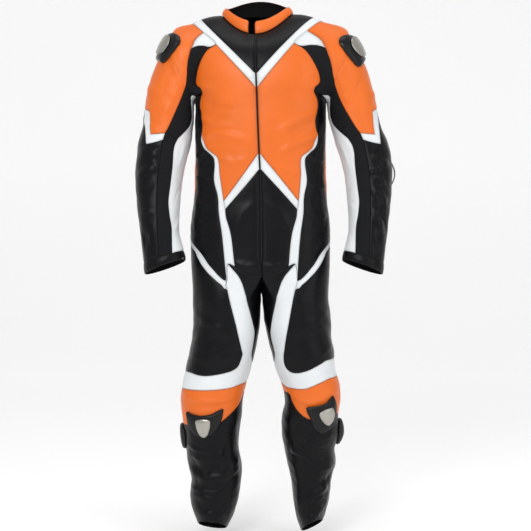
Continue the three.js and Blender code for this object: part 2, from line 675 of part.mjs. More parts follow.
const seam = {
  vTop: drawn(onBody, bodyKnot(ridge.stripe), [], bodyKnot(zipAt(V_TOP))),
  vLow: drawn(onBody, corner.stripe, [], bodyKnot(zipAt(V_LOW))),
  chestSide: drawn(onBody, corner.chest, [[158, -207], [151, -240], [151, -269]], corner.waist),
  stripeOut: drawn(onBody, corner.waist, [
    [155, -306], [146, -328], [121, -354], [123, -412], [114, -455], [112, -497], [103, -562],
  ], corner.side),
  stripeIn: drawn(onBody, corner.waist, [[139, -328], [111, -352], [107, -400]], corner.peakTop),
  stripeEnd: drawn(onBody, corner.peakTop, [], corner.peakLow),
  stripeLow: drawn(onBody, corner.peakLow, [[93, -509], [80, -556]], corner.belly),
  peakTop: drawn(onBody, corner.peakTop, [], bodyKnot(zipAt(PEAK_TOP))),
  peakLow: drawn(onBody, corner.peakLow, [], bodyKnot(zipAt(PEAK_LOW))),
  neckFront: plain([zipTurn(NECK), NECK], ridge.neck, SEAM_SCALE),
  neckBack: plain(ridge.neck, [180, NECK], SEAM_SCALE),
  ridgeNeck: plain(ridge.neck, ridge.stripe, SEAM_SCALE),
  ridgeStripe: plain(ridge.stripe, ridge.arm, SEAM_SCALE),
  yokeBack: subdivide([onSeam(raglan, ARM.yoke), [YOKE_BACK_TURN, YOKE_BACK], [180, YOKE_BACK]], HALF_FACET),
  sideTop: subdivide([
    [90, 205], [88, 300], [78, 365], [76, 395], [77, 430], [87, 462], [WAIST_SIDE, WAIST],
  ], HALF_FACET),
  sideLow: subdivide([[WAIST_SIDE, WAIST], [97, 530], onSeam(hip, LEG_TOP.hipEnd)], FACET),
  waistBack: plain([WAIST_SIDE, WAIST], [180, WAIST], SEAM_SCALE),
};
const zipEnd = [0, -ZIP_END];
const bellyEnd = [[0, -ZIP_END], [0, -CROTCH.frontZ]];

for (const [name, side] of SIDES) {
  piece(`yoke_${name}`, 'leather', body, [
    seam.neckFront, seam.ridgeNeck, seam.vTop, back(zipEdge(-NECK, V_TOP)),
  ], side);
  piece(`v_stripe_${name}`, 'white', body, [
    seam.ridgeStripe, bodyArm(0, ARM.gusset), bodyArm(ARM.gusset, ARM.stripe), seam.vLow,
    back(zipEdge(V_TOP, V_LOW)), back(seam.vTop),
  ], side);
  piece(`chest_${name}`, 'orange', body, [
    back(seam.vLow), bodyArm(ARM.stripe, ARM.chest), seam.chestSide, seam.stripeIn,
    seam.peakTop, back(zipEdge(V_LOW, PEAK_TOP)),
  ], side);
  piece(`peak_stripe_${name}`, 'white', body, [
    back(seam.peakTop), seam.stripeEnd, seam.peakLow, back(zipEdge(PEAK_TOP, PEAK_LOW)),
  ], side);
  piece(`side_stripe_${name}`, 'white', body, [
    seam.stripeOut, bodyLeg(LEG_TOP.side, LEG_TOP.belly), back(seam.stripeLow),
    back(seam.stripeEnd), back(seam.stripeIn),
  ], side);
  piece(`side_panel_${name}`, 'leather', body, [
    bodyArm(ARM.chest, 180), seam.sideTop, seam.sideLow,
    bodyLeg(LEG_TOP.hipEnd, LEG_TOP.side), back(seam.stripeOut), back(seam.chestSide),
  ], side);
  piece(`belly_${name}`, 'leather', body, [
    seam.stripeLow, bodyLeg(LEG_TOP.belly, LEG_TOP.middle), back(bellyEnd), [zipEnd],
    back(zipEdge(PEAK_LOW, ZIP_END)), back(seam.peakLow),
  ], side);
}

const zipSides = [-NECK, V_TOP, V_LOW, PEAK_TOP, PEAK_LOW, ZIP_END];
const zipRight = zipSides.slice(1).map((z, i) => zipEdge(zipSides[i], z)).flat();
const zipLeft = zipRight.map(([turn, depth]) => [-turn, depth]);
piece('front_zip', 'cup', body, [zipRight, back(zipLeft)], 1, cloth);
const around = (half) => [...half, ...back(mirrored(half))];
piece('back_yoke', 'leather', body, [
  around(seam.neckBack),
  mirrored([...seam.ridgeNeck, ...seam.ridgeStripe, ...bodyArm(0, ARM.yoke - 360)]),
  mirrored(seam.yokeBack), back(seam.yokeBack),
  back([...seam.ridgeNeck, ...seam.ridgeStripe, ...bodyArm(0, ARM.yoke - 360)]),
], 1);
const backSide = [...bodyArm(ARM.yoke, 180), ...seam.sideTop];
piece('back_panel', 'orange', body, [
  backSide, around(seam.waistBack), back(mirrored(backSide)), back(around(seam.yokeBack)),
], 1);
const seatSide = [...seam.sideLow, ...bodyLeg(LEG_TOP.hipEnd, LEG_TOP.back - 360)];
piece('seat', 'leather', body, [
  seatSide, back(mirrored(seatSide)), back(around(seam.waistBack)),
], 1);

const slitHalf = THREE.MathUtils.radToDeg(Math.asin(COLLAR_GAP / COLLAR_TOP.half));
const [collarFrom, collarTo] = [COLLAR_TOP.slit + slitHalf, COLLAR_TOP.slit - slitHalf + 360];
const collarBand = [
  plain([collarFrom + CORNER.turn, 0], [collarTo - CORNER.turn, 0], COLLAR_SCALE),
  plain([collarTo - CORNER.turn, 0], [collarTo - CORNER.turn / 4, CORNER.deep / 4], COLLAR_SCALE),
  plain([collarTo - CORNER.turn / 4, CORNER.deep / 4], [collarTo, CORNER.deep], COLLAR_SCALE),
  plain([collarTo, CORNER.deep], [collarTo, COLLAR_FOOT], COLLAR_SCALE),
  plain([collarTo, COLLAR_FOOT], [collarFrom, COLLAR_FOOT], COLLAR_SCALE),
  plain([collarFrom, COLLAR_FOOT], [collarFrom, CORNER.deep], COLLAR_SCALE),
  plain([collarFrom, CORNER.deep], [collarFrom + CORNER.turn / 4, CORNER.deep / 4], COLLAR_SCALE),
  plain([collarFrom + CORNER.turn / 4, CORNER.deep / 4], [collarFrom + CORNER.turn, 0], COLLAR_SCALE),
];
piece('collar', 'orange', collar, collarBand, 1, { scale: COLLAR_SCALE, step: FOLD_FACET });
piece('collar_lining', 'lining', collar, collarBand, 1, {
  scale: COLLAR_SCALE,
  step: FOLD_FACET,
  low: -LINING_INSET - CLOTH,
  high: -LINING_INSET,
  gap: LINING_GAP,
});

// Seams of a sleeve
const onSleeve = (x, z) => onFront(sleeve, x, z, TURN_RANGE, [0, CUFF_END]);
folds.sleeve = SLEEVE_FOLDS.map((fold) => ({ ...fold, path: fold.path.map((p) => onSleeve(...p)) }));
const armKnot = (spot) => knot(spot, sleeve);
const armAt = (x, z) => armKnot(onSleeve(x, z));
const armCorner = {
  gusset: armAt(177, -62),
  tip: armAt(258, -287),
  inside: armAt(297, -289),
  high: armAt(295, -228),
  peak: armKnot([2, 215]),
  low: armAt(311, -314),
  end: armAt(264, -304),
  inner: armAt(224, -300),
};
const armSeam = {
  gussetOut: drawn(onSleeve, armKnot([ARM.gusset, 0]), [[156, -30], [167, -41]], armCorner.gusset),
  gussetLow: drawn(onSleeve, armKnot([ARM.stripe, 0]), [[124, -60], [149, -54]], armCorner.gusset),
  cap: drawn(onSleeve, armCorner.gusset, [
    [183, -80], [190, -107], [196, -155], [212, -200], [232, -242], [249, -274],
  ], armCorner.tip),
  bandTop: drawn(onSleeve, armCorner.tip, [], armCorner.inside),
  bandIn: drawn(onSleeve, armCorner.inside, [[296, -258]], armCorner.high),
  bandPeak: drawn(onSleeve, armCorner.high, [], armCorner.peak),
  bandOut: drawn(onSleeve, armCorner.peak, [[313, -245], [312, -280]], armCorner.low),
  bandLow: drawn(onSleeve, armCorner.low, [[288, -311]], armCorner.end),
  bandEnd: [armCorner.end.spot, armCorner.tip.spot],
  elbow: drawn(onSleeve, armCorner.tip, [[240, -293]], armCorner.inner),
  innerTop: subdivide([
    [ARM.inner, 0], [146, 30], [150, 64], [160, 115], [162, 180], [157, 225], [146, 258],
    armCorner.inner.spot,
  ], FACET),
  innerLow: drawn(onSleeve, armCorner.inner, [
    [233, -316], [238, -337], [240, -372], [246, -428], [250, -468], [246, -508], [241, -537],
  ], armKnot([onSleeve(240, -600)[0], CUFF_TOP])),
  front: drawn(onSleeve, armCorner.end, [[275, -373], [280, -437], [279, -519]],
    armKnot([onSleeve(276, -612)[0], CUFF_TOP])),
  behind: subdivide([armCorner.peak.spot, [-40, 225], [-100, 245], [ARM_BACK, BACK_ELBOW]], FACET),
  backTop: plain([ARM_BACK, 0], [ARM_BACK, BACK_ELBOW], ARM_SCALE),
  backLow: plain([ARM_BACK, BACK_ELBOW], [ARM_BACK, CUFF_TOP], ARM_SCALE),
};
const cuffTurn = { inner: armSeam.innerLow.at(-1)[0], front: armSeam.front.at(-1)[0] };
const cuffSeam = {
  inner: plain([cuffTurn.inner, CUFF_TOP], [ARM.innerBack, CUFF_TOP], ARM_SCALE),
  front: plain([cuffTurn.front, CUFF_TOP], [cuffTurn.inner, CUFF_TOP], ARM_SCALE),
  outer: plain([ARM_BACK, CUFF_TOP], [cuffTurn.front, CUFF_TOP], ARM_SCALE),
};

for (const [name, side] of SIDES) {
  piece(`sleeve_cap_${name}`, 'orange', sleeve, [
    armTop(ARM_BACK, ARM.gusset), armSeam.gussetOut, armSeam.cap, armSeam.bandTop,
    armSeam.bandIn, armSeam.bandPeak, armSeam.behind, back(armSeam.backTop),
  ], side, { ...onArm, step: FOLD_FACET });
  piece(`gusset_${name}`, 'white', sleeve, [
    armTop(ARM.gusset, ARM.stripe), armSeam.gussetLow, back(armSeam.gussetOut),
  ], side, onArm);
  piece(`arm_stretch_${name}`, 'stretch', sleeve, [
    armTop(ARM.stripe, ARM.inner), armSeam.innerTop, back(armSeam.elbow), back(armSeam.cap),
    back(armSeam.gussetLow),
  ], side, { ...onArm, ...cloth });
  piece(`inner_arm_${name}`, 'white', sleeve, [
    armTop(ARM.inner, ARM.innerBack), shifted(armSeam.backTop, 360), shifted(armSeam.backLow, 360),
    back(cuffSeam.inner), back(armSeam.innerLow), back(armSeam.innerTop),
  ], side, onArm);
  piece(`elbow_band_${name}`, 'white', sleeve, [
    armSeam.bandTop, armSeam.bandIn, armSeam.bandPeak, armSeam.bandOut, armSeam.bandLow,
    armSeam.bandEnd,
  ], side, onArm);
  piece(`forearm_${name}`, 'leather', sleeve, [
    back(armSeam.behind), armSeam.bandOut, armSeam.bandLow, armSeam.front,
    back(cuffSeam.outer), back(armSeam.backLow),
  ], side, { ...onArm, step: FOLD_FACET });
  piece(`forearm_stretch_${name}`, 'stretch', sleeve, [
    armSeam.elbow, armSeam.innerLow, back(cuffSeam.front), back(armSeam.front), armSeam.bandEnd,
  ], side, { ...onArm, ...cloth });
  piece(`cuff_${name}`, 'leather', sleeve, [
    cuffSeam.outer, cuffSeam.front, cuffSeam.inner,
    plain([ARM.innerBack, CUFF_TOP], [ARM.innerBack, CUFF_END], ARM_SCALE),
    plain([ARM.innerBack, CUFF_END], [ARM_BACK, CUFF_END], ARM_SCALE),
    plain([ARM_BACK, CUFF_END], [ARM_BACK, CUFF_TOP], ARM_SCALE),
  ], side, { ...onArm, step: CUFF_FACET });
}

// Seams of a leg; the two knees stand a little differently
const onLegFront = (x, z) => onFront(leg, x, z, TURN_RANGE, [0, HEM]);
folds.leg = LEG_FOLDS.map((fold) => ({ ...fold, path: fold.path.map((p) => onLegFront(...p)) }));
const legKnot = (spot) => knot(spot, leg);
const KNEES = {
  right: {
    thighLow: [[53, -871], [66, -905], [97, -919], [155, -927], [200, -916]],
    bandLow: [[50, -948], [90, -960], [154, -965], [212, -964]],
    kneeLow: [[53, -970], [63, -1002], [83, -1029], [115, -1054], [160, -1060], [208, -1061]],
    cup: [
      [194, -1021], [180, -1028], [157, -1032], [134, -1028], [117, -1018], [103, -1011],
      [104, -1036], [113, -1062], [129, -1084], [152, -1094], [174, -1082], [190, -1062],
    ],
    insert: [
      [168, -1042], [151, -1038], [133, -1040], [133, -1059], [139, -1080], [148, -1089],
      [158, -1083], [165, -1067],
    ],
    slider: 430,
  },
  left: {
    thighLow: [[54, -871], [57, -901], [78, -919], [115, -915], [155, -897], [189, -880]],
    bandLow: [[58, -958], [80, -961], [112, -961], [155, -945], [199, -929]],
    kneeLow: [[64, -971], [78, -1001], [100, -1026], [129, -1042], [165, -1040], [201, -1032]],
    cup: [
      [115, -1009], [149, -1005], [170, -998], [187, -978], [195, -996], [198, -1040],
      [185, -1065], [154, -1081], [138, -1066], [131, -1039], [120, -1023],
    ],
    insert: [
      [149, -1023], [163, -1013], [182, -1007], [188, -1027], [184, -1046], [173, -1059], [164, -1053],
      [155, -1039],
    ],
    slider: 418,
  },
};
const legCorner = {
  side: legKnot([LEG_TOP.side, 0]),
  notch: legKnot([LEG_TOP.notch, 0]),
  hip: legKnot(onLegFront(89, -701)),
};
const legSeam = {
  hipLow: drawn(onLegFront, legCorner.hip, [[110, -685], [138, -659], [160, -632], [186, -584]],
    legKnot([LEG_TOP.hipEnd, HIP_STRIPE_END])),
  hipSide: [[LEG_TOP.side, 0], legCorner.hip.spot],
  thighIn: [
    ...drawn(onLegFront, legCorner.notch, [
      [55, -674], [34, -745], [21, -808], [23, -835], [30, -870],
    ], legKnot([LEG_SEAM.lead, LEG_BACK.bandTop - BAND_LEAD])),
    ...plain([LEG_SEAM.lead, LEG_BACK.bandTop - BAND_LEAD], [LEG_SEAM.turn, LEG_BACK.bandTop], LEG_SCALE),
  ],
  backTop: plain([LEG_SEAM.turn, 0], [LEG_SEAM.turn, LEG_BACK.bandTop], LEG_SCALE),
  backBand: plain([LEG_SEAM.turn, LEG_BACK.bandTop], [LEG_SEAM.turn, LEG_BACK.bandEnd], LEG_SCALE),
  backKnee: plain([LEG_SEAM.turn, LEG_BACK.bandEnd], [LEG_SEAM.turn, LEG_BACK.kneeEnd], LEG_SCALE),
};

for (const [name, side] of SIDES) {
  const knee = KNEES[name];
  const sideKnot = (rows) => legKnot([LEG_BACK.outer, onLegFront(...rows.at(-1))[1]]);
  const nearBack = (depth) => legKnot([LEG_SEAM.near, depth - KNEE_LEAD]);
  const thighEnd = sideKnot(knee.thighLow);
  const bandEnd = sideKnot(knee.bandLow);
  const kneeEnd = sideKnot(knee.kneeLow);
  const thighStart = legKnot(onLegFront(...knee.thighLow[0]));
  const thighOut = drawn(onLegFront, legCorner.hip, [[75, -765], [63, -821]], thighStart);
  const thighLow = drawn(onLegFront, thighStart, knee.thighLow.slice(1), thighEnd);
  const bandLow = [
    ...drawn(onLegFront, bandEnd, back(knee.bandLow), nearBack(LEG_BACK.bandEnd)),
    [LEG_SEAM.turn, LEG_BACK.bandEnd],
  ];
  const kneeLow = [
    ...drawn(onLegFront, kneeEnd, back(knee.kneeLow), nearBack(LEG_BACK.kneeEnd)),
    [LEG_SEAM.turn, LEG_BACK.kneeEnd],
  ];
  const bandSide = [thighEnd.spot, bandEnd.spot];
  const kneeSide = plain(bandEnd.spot, kneeEnd.spot, LEG_SCALE);
  const kneeBack = subdivide([kneeEnd.spot, KNEE_SIDE, [LEG_BACK.seam, LEG_BACK.kneeEnd]], FACET);
  const hipBack = [[LEG_TOP.hipEnd, 0], [LEG_TOP.hipEnd, HIP_STRIPE_END]];
  piece(`hip_stripe_${name}`, 'white', leg, [
    legTop(LEG_TOP.hipEnd, LEG_TOP.side), legSeam.hipSide, legSeam.hipLow, back(hipBack),
  ], side, onLeg);
  piece(`thigh_stripe_${name}`, 'white', leg, [
    legTop(LEG_TOP.side, LEG_TOP.notch), legSeam.thighIn, legSeam.backBand, back(bandLow),
    back(bandSide), back(thighLow), back(thighOut), back(legSeam.hipSide),
  ], side, onLeg);
  piece(`inner_thigh_${name}`, 'leather', leg, [
    legTop(LEG_TOP.notch, LEG_TOP.seat), legSeam.backTop, back(legSeam.thighIn),
  ], side, onLeg);
  piece(`thigh_${name}`, 'leather', leg, [
    hipBack, back(legSeam.hipLow), thighOut, thighLow, bandSide, kneeSide, kneeBack,
    shifted(back([...legSeam.backTop, ...legSeam.backBand, ...legSeam.backKnee]), -360),
    legTop(LEG_BACK.seam, LEG_TOP.hipEnd),
  ], side, onLeg);
  piece(`knee_${name}`, 'orange', leg, [
    bandLow, legSeam.backKnee, back(kneeLow), back(kneeSide),
  ], side, onLeg);
  const shinSeam = plain([LEG_SEAM.turn, LEG_BACK.kneeEnd], [LEG_SEAM.turn, HEM], LEG_SCALE);
  piece(`shin_${name}`, 'leather', leg, [
    back(kneeBack), kneeLow, shinSeam, plain([LEG_SEAM.turn, HEM], [LEG_BACK.seam, HEM], LEG_SCALE),
    back(shifted(shinSeam, -360)),
  ], side, { ...onLeg, step: FOLD_FACET });
}

// Moulded guards lie on the cloth: a cup, a metal insert on it, and a slider outside the shin
const closed = (rows, scale) => {
  const line = subdivide([...rows, rows[0]].map(([turn, at]) => [turn * scale, at]), FINE_FACET);
  return line.map(([u, v]) => [u / scale, v]);
};
const dome = (foot, edge, crown, reach) => ({
  low: foot,
  high: (rim) => foot + edge + (crown - edge) * (1 - Math.exp(-rim / reach)),
  step: FINE_FACET,
  gap: 0,
});
const cupDome = (foot) => dome(foot, CUP_EDGE, CUP_CROWN, CUP_REACH);
const insertDome = (foot) => dome(foot + CUP_CROWN, INSERT_EDGE, INSERT_RISE, INSERT_REACH);
const SHOULDERS = {
  right: {
    cup: [
      [49, 33], [56, 34], [61, 35], [65, 39], [66, 45], [64, 57], [61, 69], [59, 79], [56, 90], [54, 97],
      [50, 103], [43, 106], [27, 107], [8, 110], [-14, 108], [-30, 98], [-36, 75], [-32, 57], [-20, 48],
      [0, 50], [20, 48], [36, 40],
    ],
    insert: [
      [47, 50], [50, 60], [46, 84], [36, 94], [22, 97], [0, 98], [-14, 92], [-22, 76], [-14, 62], [8, 58],
      [28, 53], [40, 47],
    ],
  },
  left: {
    cup: [
      [54, 33], [63, 35], [67, 38], [70, 44], [68, 55], [66, 67], [64, 79], [61, 91], [60, 98], [57, 105],
      [52, 111], [44, 114], [28, 113], [8, 112], [-14, 108], [-30, 98], [-36, 75], [-32, 58], [-20, 52],
      [0, 55], [20, 53], [36, 44], [46, 36],
    ],
    insert: [
      [50, 52], [53, 63], [49, 80], [43, 94], [34, 101], [14, 103], [-8, 98], [-20, 82], [-14, 66],
      [12, 61], [30, 55], [42, 50],
    ],
  },
};
for (const [name, side] of SIDES) {
  piece(`shoulder_cup_${name}`, 'cup', sleeve, [closed(SHOULDERS[name].cup, ARM_SCALE)], side,
    { ...onArm, ...cupDome(SHOULDER_LIFT) });
  piece(`shoulder_insert_${name}`, 'metal', sleeve, [closed(SHOULDERS[name].insert, ARM_SCALE)], side,
    { ...onArm, ...insertDome(SHOULDER_LIFT + INSERT_GAPS.shoulder) });
  const { cup, insert, slider } = KNEES[name];
  const spots = (rows) => closed(rows.map(([x, z]) => onLegFront(x, z)), LEG_SCALE);
  piece(`knee_cup_${name}`, 'cup', leg, [spots(cup)], side, { ...onLeg, ...cupDome(GUARD_LIFT) });
  piece(`knee_insert_${name}`, 'metal', leg, [spots(insert)], side,
    { ...onLeg, ...insertDome(GUARD_LIFT + INSERT_GAPS.knee) });
  const puck = Array.from({ length: SLIDER.corners }, (_, i) => {
    const turn = i * 2 * Math.PI / SLIDER.corners;
    return [SLIDER.turn + SLIDER.wide * Math.cos(turn), slider + SLIDER.tall * Math.sin(turn)];
  });
  piece(`knee_slider_${name}`, 'cup', leg, [puck], side,
    { ...onLeg, ...dome(GUARD_LIFT, SLIDER.edge, SLIDER.crown, SLIDER.reach) });
}

// A narrow leather loop stands off the outside of the left forearm
const bow = (depth) => Math.sin(Math.PI * (depth - LOOP.from) / (LOOP.to - LOOP.from));
piece('forearm_loop', 'leather', sleeve, [
  plain([LOOP.turn - LOOP.half, LOOP.from], [LOOP.turn + LOOP.half, LOOP.from], ARM_SCALE),
  subdivide([[LOOP.turn + LOOP.half, LOOP.from], [LOOP.turn + LOOP.half, LOOP.to]], LOOP.step),
  subdivide([[LOOP.turn - LOOP.half, LOOP.to], [LOOP.turn - LOOP.half, LOOP.from]], LOOP.step),
], 1, {
  ...onArm,
  step: FINE_FACET,
  gap: 0,
  low: (rim, depth) => LOOP.lift + LOOP.bow * bow(depth),
  high: (rim, depth) => LOOP.lift + CLOTH + LOOP.bow * bow(depth),
});

export default suit;
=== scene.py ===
"""Motorcycle race suit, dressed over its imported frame.

Every cloth piece is cut out on the surface it belongs to, between the same seams as the frame's
solids, and gets its rolled edges, creases, stitch rows and grain here. Tables are in
millimetres, meshes in metres, +X to the wearer's left, +Y to the back, +Z up.
"""

from __future__ import annotations

import logging
import math
from dataclasses import dataclass, field
from enum import Enum
from typing import Callable, Sequence

import bpy
import numpy as np
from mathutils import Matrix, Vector
from mathutils.geometry import delaunay_2d_cdt


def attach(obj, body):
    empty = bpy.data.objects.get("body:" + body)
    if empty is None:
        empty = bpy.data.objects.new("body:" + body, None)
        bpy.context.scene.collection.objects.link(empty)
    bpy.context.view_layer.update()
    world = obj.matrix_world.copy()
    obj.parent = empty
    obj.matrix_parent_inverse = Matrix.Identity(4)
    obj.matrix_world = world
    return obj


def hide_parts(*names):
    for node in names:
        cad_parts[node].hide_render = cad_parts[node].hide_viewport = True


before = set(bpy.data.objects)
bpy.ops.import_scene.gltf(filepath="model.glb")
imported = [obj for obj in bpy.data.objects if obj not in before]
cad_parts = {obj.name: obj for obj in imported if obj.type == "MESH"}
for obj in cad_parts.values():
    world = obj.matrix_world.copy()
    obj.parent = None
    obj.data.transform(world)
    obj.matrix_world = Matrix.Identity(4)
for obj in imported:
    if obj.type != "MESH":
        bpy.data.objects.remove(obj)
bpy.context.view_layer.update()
LOG = logging.getLogger("race_suit")

Array = np.ndarray
Line = np.ndarray
Height = Callable[[Array, Array, Array], Array]

MM = 0.001
RIGHT, LEFT, EVEN = -1, 1, 0
SIDES = (("right", RIGHT), ("left", LEFT))


NECK = 22.0
BODY_ROWS = (
    (22, 40, -22, 48, 96, 64, 60, 2.0),
    (40, 37, -40, 32, 124, 84, 84, 2.1),
    (62, 29, -62, 6, 153, 100, 102, 2.3),
    (90, 15, -90, -30, 178, 110, 112, 2.5),
    (125, -40, -125, -85, 190, 117, 118, 2.6),
    (160, -110, -160, -140, 190, 118, 119, 2.6),
    (205, -190, -205, -200, 177, 117, 114, 2.5),
    (265, -265, -265, -265, 176, 116, 108, 2.4),
    (330, -330, -330, -330, 175, 112, 102, 2.35),
    (400, -400, -400, -400, 176, 106, 98, 2.3),
    (460, -460, -460, -460, 179, 104, 100, 2.3),
    (520, -520, -520, -520, 186, 104, 106, 2.35),
    (580, -580, -580, -580, 189, 104, 114, 2.4),
    (640, -640, -640, -640, 189, 104, 118, 2.4),
    (700, -700, -700, -700, 184, 104, 116, 2.4),
)
TWIST_ROWS = ((0, -5.6, -8), (40, -5.6, -6), (140, -5.6, 0), (330, -2, 0), (450, 1, 0), (640, 2, 0), (800, 2, 6))
RAGLAN_FRONT = (
    (38, 138, -16), (64, 104, -51), (78, 130, -69), (94, 150, -98), (117, 165, -146),
    (125, 158, -160), (130, 150, -166), (136, 149, -180),
)
RAGLAN_BACK = (
    (180, 90, 205), (205, 110, 207), (225, 130, 198), (253, 144, 165),
    (288, 140, 130), (314, 125, 105), (341, 105, 93), (360, 90, 90),
)
HIP_FRONT = (
    (33, 163, -600), (55, 136, -638), (80, 93, -676), (92, 89, -632),
    (97, 71, -638), (114, 36, -656), (125, 12, -661),
)
HIP_BACK = (
    (232, 180, 640), (262, 150, 632), (300, 120, 610), (330, 105, 582), (345, 97, 570), (360, 90, 556),
)
CROTCH_FROM, CROTCH_TO = 130.0, 232.0
CROTCH_FRONT, CROTCH_BACK = (-104.0, -662.0), (118.0, -640.0)
CROTCH_DIP = 45.0
SLEEVE_ROWS = (
    (45, 236, -8, 180, -203, 0, 84),
    (110, 276, -85, 181, -222, 0, 80),
    (165, 299, -151, 182, -240, -2, 76),
    (215, 312, -215, 185, -258, -6, 74),
    (262, 320, -264, 189, -277, -8, 74),
    (305, 335, -306, 195, -310, -12, 72),
    (365, 343, -372, 211, -366, -22, 68),
    (418, 342, -425, 219, -416, -32, 64),
    (482, 335, -495, 224, -480, -46, 60),
    (548, 325, -565, 225, -545, -60, 55),
    (590, 318, -628, 212, -597, -68, 51),
    (632, 315, -659, 207, -622, -72, 50),
)
CUFF_TOP, CUFF_END = 590.0, 632.0
CUFF_TILT, CUFF_TILT_FROM = 6.0, 560.0
ARM_SHIFT_FROM, ARM_SHIFT_TO, ARM_SHIFT_BY = 190.0, 350.0, 9.0
LEG_ROWS = (
    (75, -740, 185, 3, 181, 3, 2, 104),
    (118, -783, 186, 7, 184, 5, 2, 102),
    (161, -826, 189, 13, 184, 13, 0, 99),
    (205, -870, 197, 21, 192, 24, -2, 96),
    (248, -913, 207, 32, 195, 35, -3, 92),
    (291, -956, 216, 45, 207, 51, -5, 89),
    (334, -999, 220, 54, 208, 60, -6, 87),
    (377, -1042, 216, 57, 203, 52, -5, 84),
    (420, -1085, 210, 64, 206, 52, -2, 81),
    (463, -1128, 206, 65, 194, 59, 4, 78),
    (506, -1171, 201, 57, 196, 68, 9, 75),
    (550, -1215, 192, 58, 184, 78, 11, 71),
    (593, -1258, 196, 65, 181, 83, 10, 66),
    (636, -1301, 188, 78, 173, 91, 8, 60),
    (673, -1338, 175, 97, 162, 104, 6, 55),
)
HEM = 673.0
HEM_TILT, HEM_TILT_FROM = 18.0, 540.0
HEM_LEAN = {RIGHT: 5.0, 0: 9.0, LEFT: 13.0}
V_TOP, V_LOW, PEAK_TOP, PEAK_LOW, ZIP_END = -133.0, -169.0, -343.0, -384.0, -628.0
ZIP_HALF = 2.2
WAIST, YOKE_BACK = 480.0, 128.0
ARM_BACK = -155.0
ARM_KNOTS = {"gusset": 38.0, "stripe": 64.0, "chest": 136.0, "inner": 156.0, "inner_back": 205.0, "yoke": 325.0}
LEG_KNOTS = {
    "hip_end": -15.0, "side": 80.0, "notch": 92.0, "belly": 97.0, "middle": 130.0, "seat": 200.0, "back": 232.0,
}
LEG_OUTER, LEG_SEAM, BAND_TOP, BAND_END, KNEE_END = -20.0, -160.0, 236.0, 286.0, 312.0


def signed_power(value: Array, exponent: Array | float) -> Array:
    """Raise the size of a value to a power and keep its sign."""
    return np.sign(value) * np.abs(value) ** exponent


def smooth_step(value: Array, low: float, high: float) -> Array:
    """Rise smoothly from 0 to 1 between two values."""
    t = np.clip((value - low) / (high - low), 0, 1)
    return t * t * (3 - 2 * t)


class Table:
    """A table of numbers, read on a smooth curve at any value of its first column."""

    def __init__(self, rows: Sequence[Sequence[float]]) -> None:
        """Keep the rows and the slope at each of them."""
        self.rows = np.array(rows, float)
        last = len(rows) - 1
        before = self.rows[np.maximum(np.arange(last + 1) - 1, 0)]
        after = self.rows[np.minimum(np.arange(last + 1) + 1, last)]
        self.slopes = (after - before) / (after[:, :1] - before[:, :1])

    def __call__(self, at: Array) -> Array:
        """Read every column.

        Args:
            at: values of the first column, any length.

        Returns:
            The other columns, one row for each value.
        """
        at = np.asarray(at, float)
        i = np.clip(np.searchsorted(self.rows[:, 0], at, side="left") - 1, 0, len(self.rows) - 2)
        p, q = self.rows[i], self.rows[i + 1]
        span = (q[:, 0] - p[:, 0])[:, None]
        t = np.clip((at[:, None] - p[:, :1]) / span, 0, 1)
        value = (2 * t**3 - 3 * t**2 + 1) * p + (t**3 - 2 * t**2 + t) * span * self.slopes[i]
        value += (3 * t**2 - 2 * t**3) * q + (t**3 - t**2) * span * self.slopes[i + 1]
        return value[:, 1:]


def resampled(points: Array, step: float, smooth: bool = True) -> Array:
    """Space points evenly on a curve through the given ones.

    Args:
        points: the given points, one row each.
        step: the wanted distance between points.
        smooth: a rounded curve, or straight runs between the given points.

    Returns:
        The new points, with the first and the last as given.
    """
    gaps = np.linalg.norm(np.diff(points, axis=0), axis=1)
    points = points[np.concatenate([[True], gaps > 1e-6])]
    if len(points) < 2:
        return points
    if smooth and len(points) > 2:
        along = np.concatenate([[0], np.cumsum(np.linalg.norm(np.diff(points, axis=0), axis=1) ** 0.5)])
        table = Table(np.column_stack([along, points]))
        dense = table(np.linspace(0, along[-1], 24 * len(points)))
    else:
        dense = points
    length = np.concatenate([[0], np.cumsum(np.linalg.norm(np.diff(dense, axis=0), axis=1))])
    count = max(1, int(math.ceil(length[-1] / step)))
    wanted = np.linspace(0, length[-1], count + 1)
    out = np.column_stack([np.interp(wanted, length, dense[:, c]) for c in range(dense.shape[1])])
    out[0], out[-1] = points[0], points[-1]
    return out


def distance_to(path: Array, spots: Array) -> tuple[Array, Array]:
    """Measure how far spots lie from a path.

    Args:
        path: the corner points of the path, in order.
        spots: the places to measure from.

    Returns:
        The distance from the path, and how far along it, from 0 to 1.
    """
    a, b = path[:-1], path[1:]
    run = b - a
    square = np.maximum((run**2).sum(1), 1e-9)
    best = np.full(len(spots), np.inf)
    along = np.zeros(len(spots))
    for i in range(len(a)):
        t = np.clip(((spots - a[i]) @ run[i]) / square[i], 0, 1)
        far = np.linalg.norm(spots - a[i] - t[:, None] * run[i], axis=1)
        near = far < best
        best[near] = far[near]
        along[near] = (i + t[near]) / len(a)
    return best, along


@dataclass(frozen=True)
class Fold:
    """One fold or crease: a path on the cloth as seen from the front, with its height and width."""

    side: int
    deep: float
    wide: float
    path: tuple[tuple[float, float], ...]


